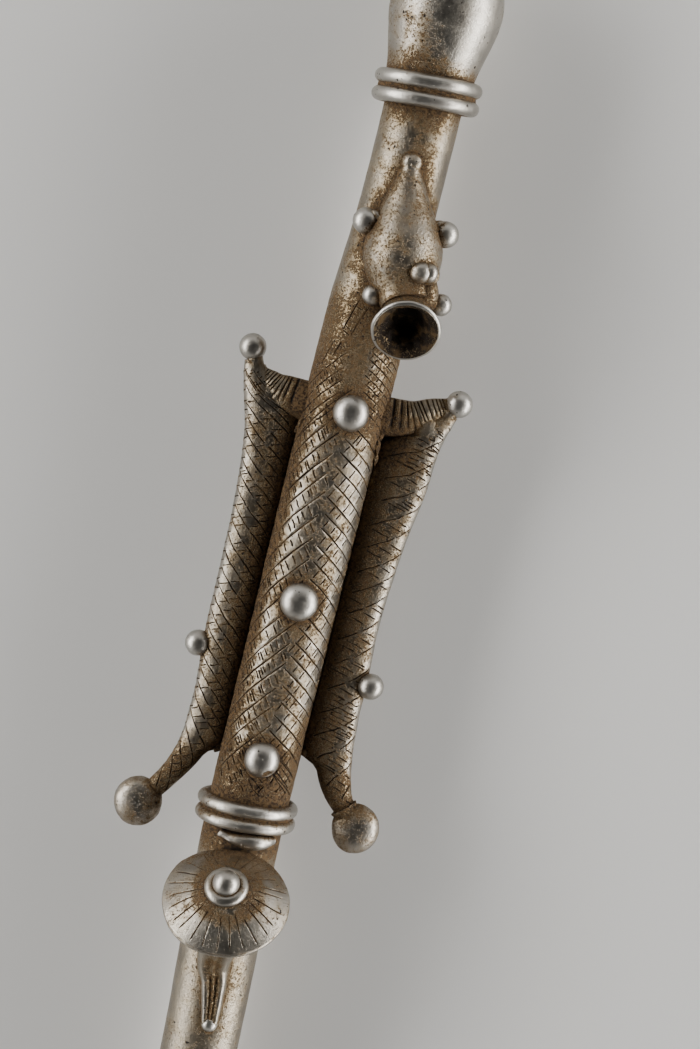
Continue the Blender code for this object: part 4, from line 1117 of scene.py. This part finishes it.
def hollowness(mesh):
    """How much of the way out from each point is blocked by the staff itself nearby."""
    tree = BVHTree.FromPolygons([v.co for v in mesh.vertices], [tuple(p.vertices) for p in mesh.polygons])
    directions = []
    for index in range(HOLLOW_RAYS):
        height = 1 - (index + 0.5) / HOLLOW_RAYS
        angle = index * GOLDEN_ANGLE
        radius = math.sqrt(1 - height * height)
        directions.append(Vector((radius * math.cos(angle), radius * math.sin(angle), height)))
    values = np.zeros(len(mesh.vertices))
    for vertex in mesh.vertices:
        turn = Vector((0, 0, 1)).rotation_difference(vertex.normal)
        start = vertex.co + vertex.normal * 0.06
        for direction in directions:
            gap = tree.ray_cast(start, turn @ direction, HOLLOW_REACH)[3]
            if gap is not None:
                values[vertex.index] += 1 - 0.6 * gap / HOLLOW_REACH
    return values / HOLLOW_RAYS


def earth_and_shade_zones(points):
    """Where earth and brown patina cling, and where shade is painted, by place on the staff, from 0 to 1."""
    x, y, z = points.T
    station = -y
    x_off = x - course(SHAFT_ROWS, np.clip(station, -4, 861))[:, 1]
    angle = np.degrees(np.arctan2(x_off, z))
    from_axis = np.hypot(x_off, z)
    on_front = z > 16

    def along(*steps):
        """Rises and falls along the staff, each between two stations."""
        share = 1.0
        for low, high in zip(steps[::2], steps[1::2]):
            share = share * smooth_step(low, high, station)
        return share

    def around(low, high, middle):
        """1 near one bearing round the shaft, and 0 away from it."""
        return smooth_step(high, low, np.abs(angle - middle))

    # The knob's lower left side, the first shaft under the upper collar, and round the animal.
    zone = 0.46 * along(-62, -40, -5, -12) * smooth_step(20, -30, angle)
    zone += 0.66 * along(-15, -6, 0, -4)
    zone += 0.36 * along(-27, -16, 0, -4) * around(10, 40, -8)
    zone += 0.62 * along(20, 5, 1.0, 4.0) * around(20, 75, -12)
    zone += 0.34 * along(22, 34, 78, 62) * around(30, 62, 4)
    zone += 0.22 * along(2, 6, 90, 76)
    zone += 0.42 * along(3, 8, 36, 24) * around(12, 30, 20) * (from_axis < 14.6)
    # The carved stretch: its left flank, its right edge above and below, and both of its ends.
    carved = along(66, 84, 264, 252) * (from_axis < 15.2)
    right = carved * smooth_step(34, 62, angle)
    zone += carved * (0.46 + 0.85 * smooth_step(-34, -62, angle) + 0.42 * along(125, 100))
    zone += 0.50 * right * (along(132, 108) + along(205, 225))
    zone -= 0.55 * carved * smooth_step(36, 60, angle) * along(112, 126, 218, 204)
    zone += 0.72 * along(226, 240, 272, 262)
    for boss_station, side in BOSSES:
        gap = np.hypot(x - side, station - boss_station)
        zone += 0.70 * smooth_step(10.5, 6.2, gap) * (np.hypot(gap, z - 14.0) > 5.8)
    # The inner sides of the wings: brown earth, and painted shade where the shaft shades them, reaching
    # further out on the right wing.
    beside = (from_axis > 15.2) * along(98, 108, 258, 244)
    zone += (0.85 - 0.38 * (x > 0)) * beside * smooth_step(23.5, 16.5, np.abs(x) - (x > 0) * 1.5)
    zone += 0.34 * beside * along(246, 238)
    # The shade's crown, its rim and its upper left side.
    from_crown = np.hypot(x - SHADE_SIDE, (station - SHADE_STATION + 4.0) * 1.2)
    from_middle = np.hypot(x - SHADE_SIDE, (station - SHADE_STATION) * 1.2)
    zone += 0.75 * on_front * smooth_step(14, 9, from_crown) * smooth_step(4, 7, from_crown)
    zone += 0.24 * on_front * smooth_step(23, 20, from_middle)
    zone += 0.25 * on_front * smooth_step(-4, -12, x) * along(252, 262, 290, 278)
    # The plain shaft below the shade is made a little darker and browner.
    zone += 0.13 * along(284, 300)
    # Painted shade in the rough hollow under the right flap.
    zone += 1.2 * (z > 0) * np.exp(-((x - 20.5) / 4.5) ** 2 - ((station - 118) / 4.5) ** 2)
    return np.clip(zone, -1, 1)


def staff_origin():
    """The middle of the upper collar in the frame, in millimetres."""
    low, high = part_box("staff")
    return np.array([low.x / MM + LEFT_REACH, high.y / MM - CAD_TOP, low.z / MM + REST_DROP])


def finish_skin(skin):
    """Keeps the looks on the points, and puts the skin where the solid lies, in metres."""
    mesh = skin.data
    points = np.zeros(len(mesh.vertices) * 3)
    mesh.vertices.foreach_get("co", points)
    points = points.reshape(-1, 3)
    cut, polish_and_sheen, soil_and_shade = keep_looks(skin).T
    clean = 1 - 0.75 * smooth_step(0.74, 0.91, polish_and_sheen)
    earth_and_shade = earth_and_shade_zones(points) * clean
    earth_and_shade = np.where(soil_and_shade > 0, np.maximum(earth_and_shade, soil_and_shade), earth_and_shade)
    looks = {"cut": cut, "polish_and_sheen": polish_and_sheen, "soil_and_shade": soil_and_shade, "hollow": hollowness(mesh), "earth_and_shade": earth_and_shade}
    for name, values in looks.items():
        layer = mesh.attributes.new(name, "FLOAT", "POINT")
        layer.data.foreach_set("value", np.asarray(values, np.float32))
    points[:, 2] = np.maximum(points[:, 2], -REST_DROP)
    mesh.vertices.foreach_set("co", ((points + staff_origin()) * MM).reshape(-1))
    mesh.update()
    mesh.shade_smooth()
    mesh.set_sharp_from_angle(angle=math.radians(32))
    mesh.materials.clear()
    mesh.materials.append(cast_metal())
    mesh.polygons.foreach_set("material_index", np.zeros(len(mesh.polygons), np.int32))


# Materials


class Field:
    """A value on its way through the shader nodes, used like a number."""

    def __init__(self, nodes, socket):
        self.nodes = nodes
        self.socket = socket

    def __add__(self, other):
        return self.nodes.math("ADD", self, other)

    def __sub__(self, other):
        return self.nodes.math("SUBTRACT", self, other)

    def __rsub__(self, other):
        return self.nodes.math("SUBTRACT", other, self)

    def __mul__(self, other):
        return self.nodes.math("MULTIPLY", self, other)

    def __lt__(self, other):
        return self.nodes.math("LESS_THAN", self, other)

    def __gt__(self, other):
        return self.nodes.math("GREATER_THAN", self, other)

    def or_more(self, other):
        return self.nodes.math("MAXIMUM", self, other)

    def ramp(self, low, high, to_low=0.0, to_high=1.0):
        """A soft step from one value to another, between low and high."""
        ends = {"From Min": low, "From Max": high, "To Min": to_low, "To Max": to_high}
        options = {"interpolation_type": "SMOOTHSTEP", "Value": self, **ends}
        return self.nodes.make("ShaderNodeMapRange", "Result", **options)


class Nodes:
    """Short words for making and joining shader nodes."""

    def __init__(self, owner, shader="Principled BSDF"):
        owner.use_nodes = True
        self.tree = owner.node_tree
        self.shader = self.tree.nodes[shader]

    def give(self, target, value):
        if isinstance(value, Field):
            self.tree.links.new(value.socket, target)
        else:
            target.default_value = (*value, 1.0) if isinstance(value, tuple) else value

    def finish(self, **values):
        for name, value in values.items():
            self.give(self.shader.inputs[name.replace("_", " ")], value)

    def make(self, kind, output, **values):
        """A new node's output, after its options and inputs are set by name."""
        node = self.tree.nodes.new(kind)
        for name, value in values.items():
            if hasattr(node, name):
                setattr(node, name, value)
            else:
                self.give(node.inputs[name], value)
        return Field(self, node.outputs[output])

    def math(self, operation, *values):
        node = self.tree.nodes.new("ShaderNodeMath")
        node.operation = operation
        for target, value in zip(node.inputs, values):
            self.give(target, value)
        return Field(self, node.outputs[0])

    def mix(self, share, first, second):
        node = self.tree.nodes.new("ShaderNodeMix")
        node.data_type = "RGBA"
        for target, value in (("Factor", share), (6, first), (7, second)):
            self.give(node.inputs[target], value)
        return Field(self, node.outputs[2])

    def grain(self, where, scale, detail, rough):
        options = {"Vector": where, "Scale": scale, "Detail": detail, "Roughness": rough}
        return self.make("ShaderNodeTexNoise", "Fac", **options)

    def cells(self, where, scale, output):
        return self.make("ShaderNodeTexVoronoi", output, Vector=where, Scale=scale, Randomness=1.0)

    def attribute(self, name):
        return self.make("ShaderNodeAttribute", "Fac", attribute_name=name)


def cast_metal():
    """Dull cast metal with pits, lighter where it is rubbed or has a painted highlight, under brown earth
    that fills its hollows, with painted shade in its deepest hollows and its cup.
    """
    material = bpy.data.materials.new("weathered_cast_metal")
    n = Nodes(material)
    where = n.make("ShaderNodeTexCoord", "Object")
    cut, hollow, earth_and_shade, polish_and_sheen, soil_and_shade = map(n.attribute, ("cut", "hollow", "earth_and_shade", "polish_and_sheen", "soil_and_shade"))
    broad = n.grain(where, 55.0, 4.0, 0.6)
    middle = n.grain(where, 210.0, 5.0, 0.65)
    fine = n.grain(where, 1000.0, 4.0, 0.65)
    speck = n.grain(where, 2300.0, 2.0, 0.6)

    # Earth sits in cuts and hollows, and spreads from there in speckled patches. The same mask carries the
    # painted shade on the wings' inner sides, under the right flap and in the cup.
    reach = hollow * 1.45 + cut.ramp(0.04, 0.60, 0.0, 0.95) + earth_and_shade * 0.72
    reach = reach + (broad - 0.5) * 1.15 + (middle - 0.5) * 1.25 - polish_and_sheen * 0.36
    dirt_and_shade = (reach + (fine - 0.5) * 2.3 + (speck - 0.5) * 2.0).ramp(0.42, 0.62)
    stain = reach.ramp(-0.12, 0.60)
    # Packed soil is rust brown in the ring grooves. The deepest cuts and hollows and the inside of the cup
    # are painted near black as shade.
    deep = cut.ramp(0.10, 0.80, 0.0, 0.75) + hollow * 1.1 - soil_and_shade * 0.55
    deep = deep.ramp(0.40, 1.0).or_more(soil_and_shade.ramp(0.65, 1.0, 0.0, 0.9))

    # Metal glints through where the earth is thin.
    glint = speck.ramp(0.58, 0.68) * middle.ramp(0.45, 0.57) * (1.0 - deep)
    dirt_and_shade = dirt_and_shade * (1.0 - glint * 0.85)

    # Casting pits: sparse dark dots in patches, and a few larger ones.
    pit = n.cells(where, 520.0, "Distance") < broad.ramp(0.42, 0.62, 0.05, 0.24) * middle.ramp(0.40, 0.60)
    chosen = n.cells(where, 210.0, "Color") > 0.62
    hole = n.cells(where, 210.0, "Distance") < chosen * fine.ramp(0.40, 0.60, 0.03, 0.13)
    pit = pit.or_more(hole)

    dull = n.mix(middle.ramp(0.38, 0.62), (0.195, 0.166, 0.124), (0.290, 0.252, 0.190))
    bright = n.mix(broad.ramp(0.38, 0.62), (0.38, 0.359, 0.323), (0.46, 0.443, 0.408))
    # Lighter where polished, which is partly wear and partly painted highlight.
    metal = n.mix(polish_and_sheen, dull, bright)
    metal = n.mix(stain * 0.85, metal, (0.185, 0.130, 0.066))
    brown = n.mix(fine.ramp(0.42, 0.60), (0.028, 0.016, 0.008), (0.122, 0.072, 0.031))
    ochre = n.mix(middle.ramp(0.50, 0.62, 0.0, 0.3), brown, (0.165, 0.104, 0.050))
    # Near black painted shade, with brown lumps in it.
    black = n.mix(middle.ramp(0.49, 0.63), (0.009, 0.006, 0.004), (0.085, 0.052, 0.022))
    colour = n.mix(dirt_and_shade, metal, n.mix(deep, ochre, black))
    colour = n.mix(pit, colour, (0.022, 0.016, 0.012))

    shine = 1.0 - (dirt_and_shade * 0.94).or_more(pit)
    rough = middle.ramp(0.35, 0.68, 0.34, 0.42) + stain * 0.07 + dirt_and_shade * 0.34 + (fine - 0.5) * 0.20
    height = fine * 1.05 + middle * 0.70 + speck * 0.50 + dirt_and_shade * 0.16 + dirt_and_shade * speck * 1.6 - pit * 0.8
    height = height * (1.0 - polish_and_sheen * 0.72)
    relief = n.make("ShaderNodeBump", "Normal", Strength=0.9, Distance=0.0002, Height=height)
    n.finish(Base_Color=colour, Metallic=shine, Roughness=rough, Normal=relief, Specular_IOR_Level=0.2)
    return material


def floor_paint():
    material = bpy.data.materials.new("pale_floor")
    n = Nodes(material)
    mottle = n.grain(n.make("ShaderNodeTexCoord", "Object"), 3.0, 2.0, 0.5)
    n.finish(Base_Color=n.mix(mottle, (0.80, 0.795, 0.78), (0.84, 0.835, 0.82)), Roughness=0.9)
    return material


def add_floor():
    mesh = bpy.data.meshes.new("floor")
    corners = [(x * FLOOR_REACH, y * FLOOR_REACH, 0) for x, y in ((-1, -1), (1, -1), (1, 1), (-1, 1))]
    mesh.from_pydata(corners, [], [(0, 1, 2, 3)])
    mesh.materials.append(floor_paint())
    placed("floor", mesh)


# Camera and light


def add_camera(origin):
    """The photograph's camera, a metre over the staff and turned so that the staff leans to the right."""
    tilt = math.radians(6.45)
    roll = math.radians(14.09)
    right = Vector((1, 0, 0))
    down = Vector((0, -math.cos(tilt), math.sin(tilt)))
    forward = Vector((0, -math.sin(tilt), -math.cos(tilt)))
    image_right = right * math.cos(roll) - down * math.sin(roll)
    image_down = right * math.sin(roll) + down * math.cos(roll)
    data = bpy.data.cameras.new("camera")
    data.sensor_fit = "VERTICAL"
    data.sensor_height = SENSOR_HEIGHT
    data.lens = FOCAL_LENGTH_PIXELS * SENSOR_HEIGHT / PHOTO_HEIGHT_PIXELS
    data.clip_start = 0.02
    data.clip_end = 50.0
    camera = placed("camera", data)
    turn = Matrix((image_right, -image_down, -forward)).transposed().to_4x4()
    camera.matrix_world = Matrix.Translation(origin + Vector((0.0102, -0.0335, 1.0))) @ turn
    bpy.context.scene.camera = camera


def add_world():
    """Two wide soft lights low on the left and right, an even horizon, and a dark ceiling over the staff."""
    world = bpy.data.worlds.new("studio")
    n = Nodes(world, "Background")
    way = n.make("ShaderNodeTexCoord", "Generated")
    side, height = (n.make("ShaderNodeSeparateXYZ", axis, Vector=way) for axis in ("X", "Z"))
    left = height.ramp(0.13, 0.33) * height.ramp(0.58, 0.42) * side.ramp(-0.60, -0.98)
    right = height.ramp(0.04, 0.16) * height.ramp(0.44, 0.24) * side.ramp(0.60, 0.98)
    strength = height.ramp(0.18, 0.70, 0.64, 0.03) + left * 15.0 + right * 19.0
    n.finish(Strength=strength, Color=(1.0, 0.985, 0.96))
    bpy.context.scene.world = world


def add_back_light(aim):
    data = bpy.data.lights.new("back_softbox", "AREA")
    data.shape = "RECTANGLE"
    data.size, data.size_y = 4.8, 2.4
    data.energy = 20.0
    data.color = (1.0, 0.99, 0.97)
    place = aim + Vector((0.0, 3.9, 1.9))
    turn = (aim - place).to_track_quat("-Z", "Y").to_matrix().to_4x4()
    placed("back_softbox", data).matrix_world = Matrix.Translation(place) @ turn


skin = build_skin()
finish_skin(skin)
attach(skin, "root")
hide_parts("staff")

origin = Vector(staff_origin() * MM)
add_floor()
add_camera(origin)
add_world()
add_back_light(origin + Vector((0.0, -0.13, 0.0)))
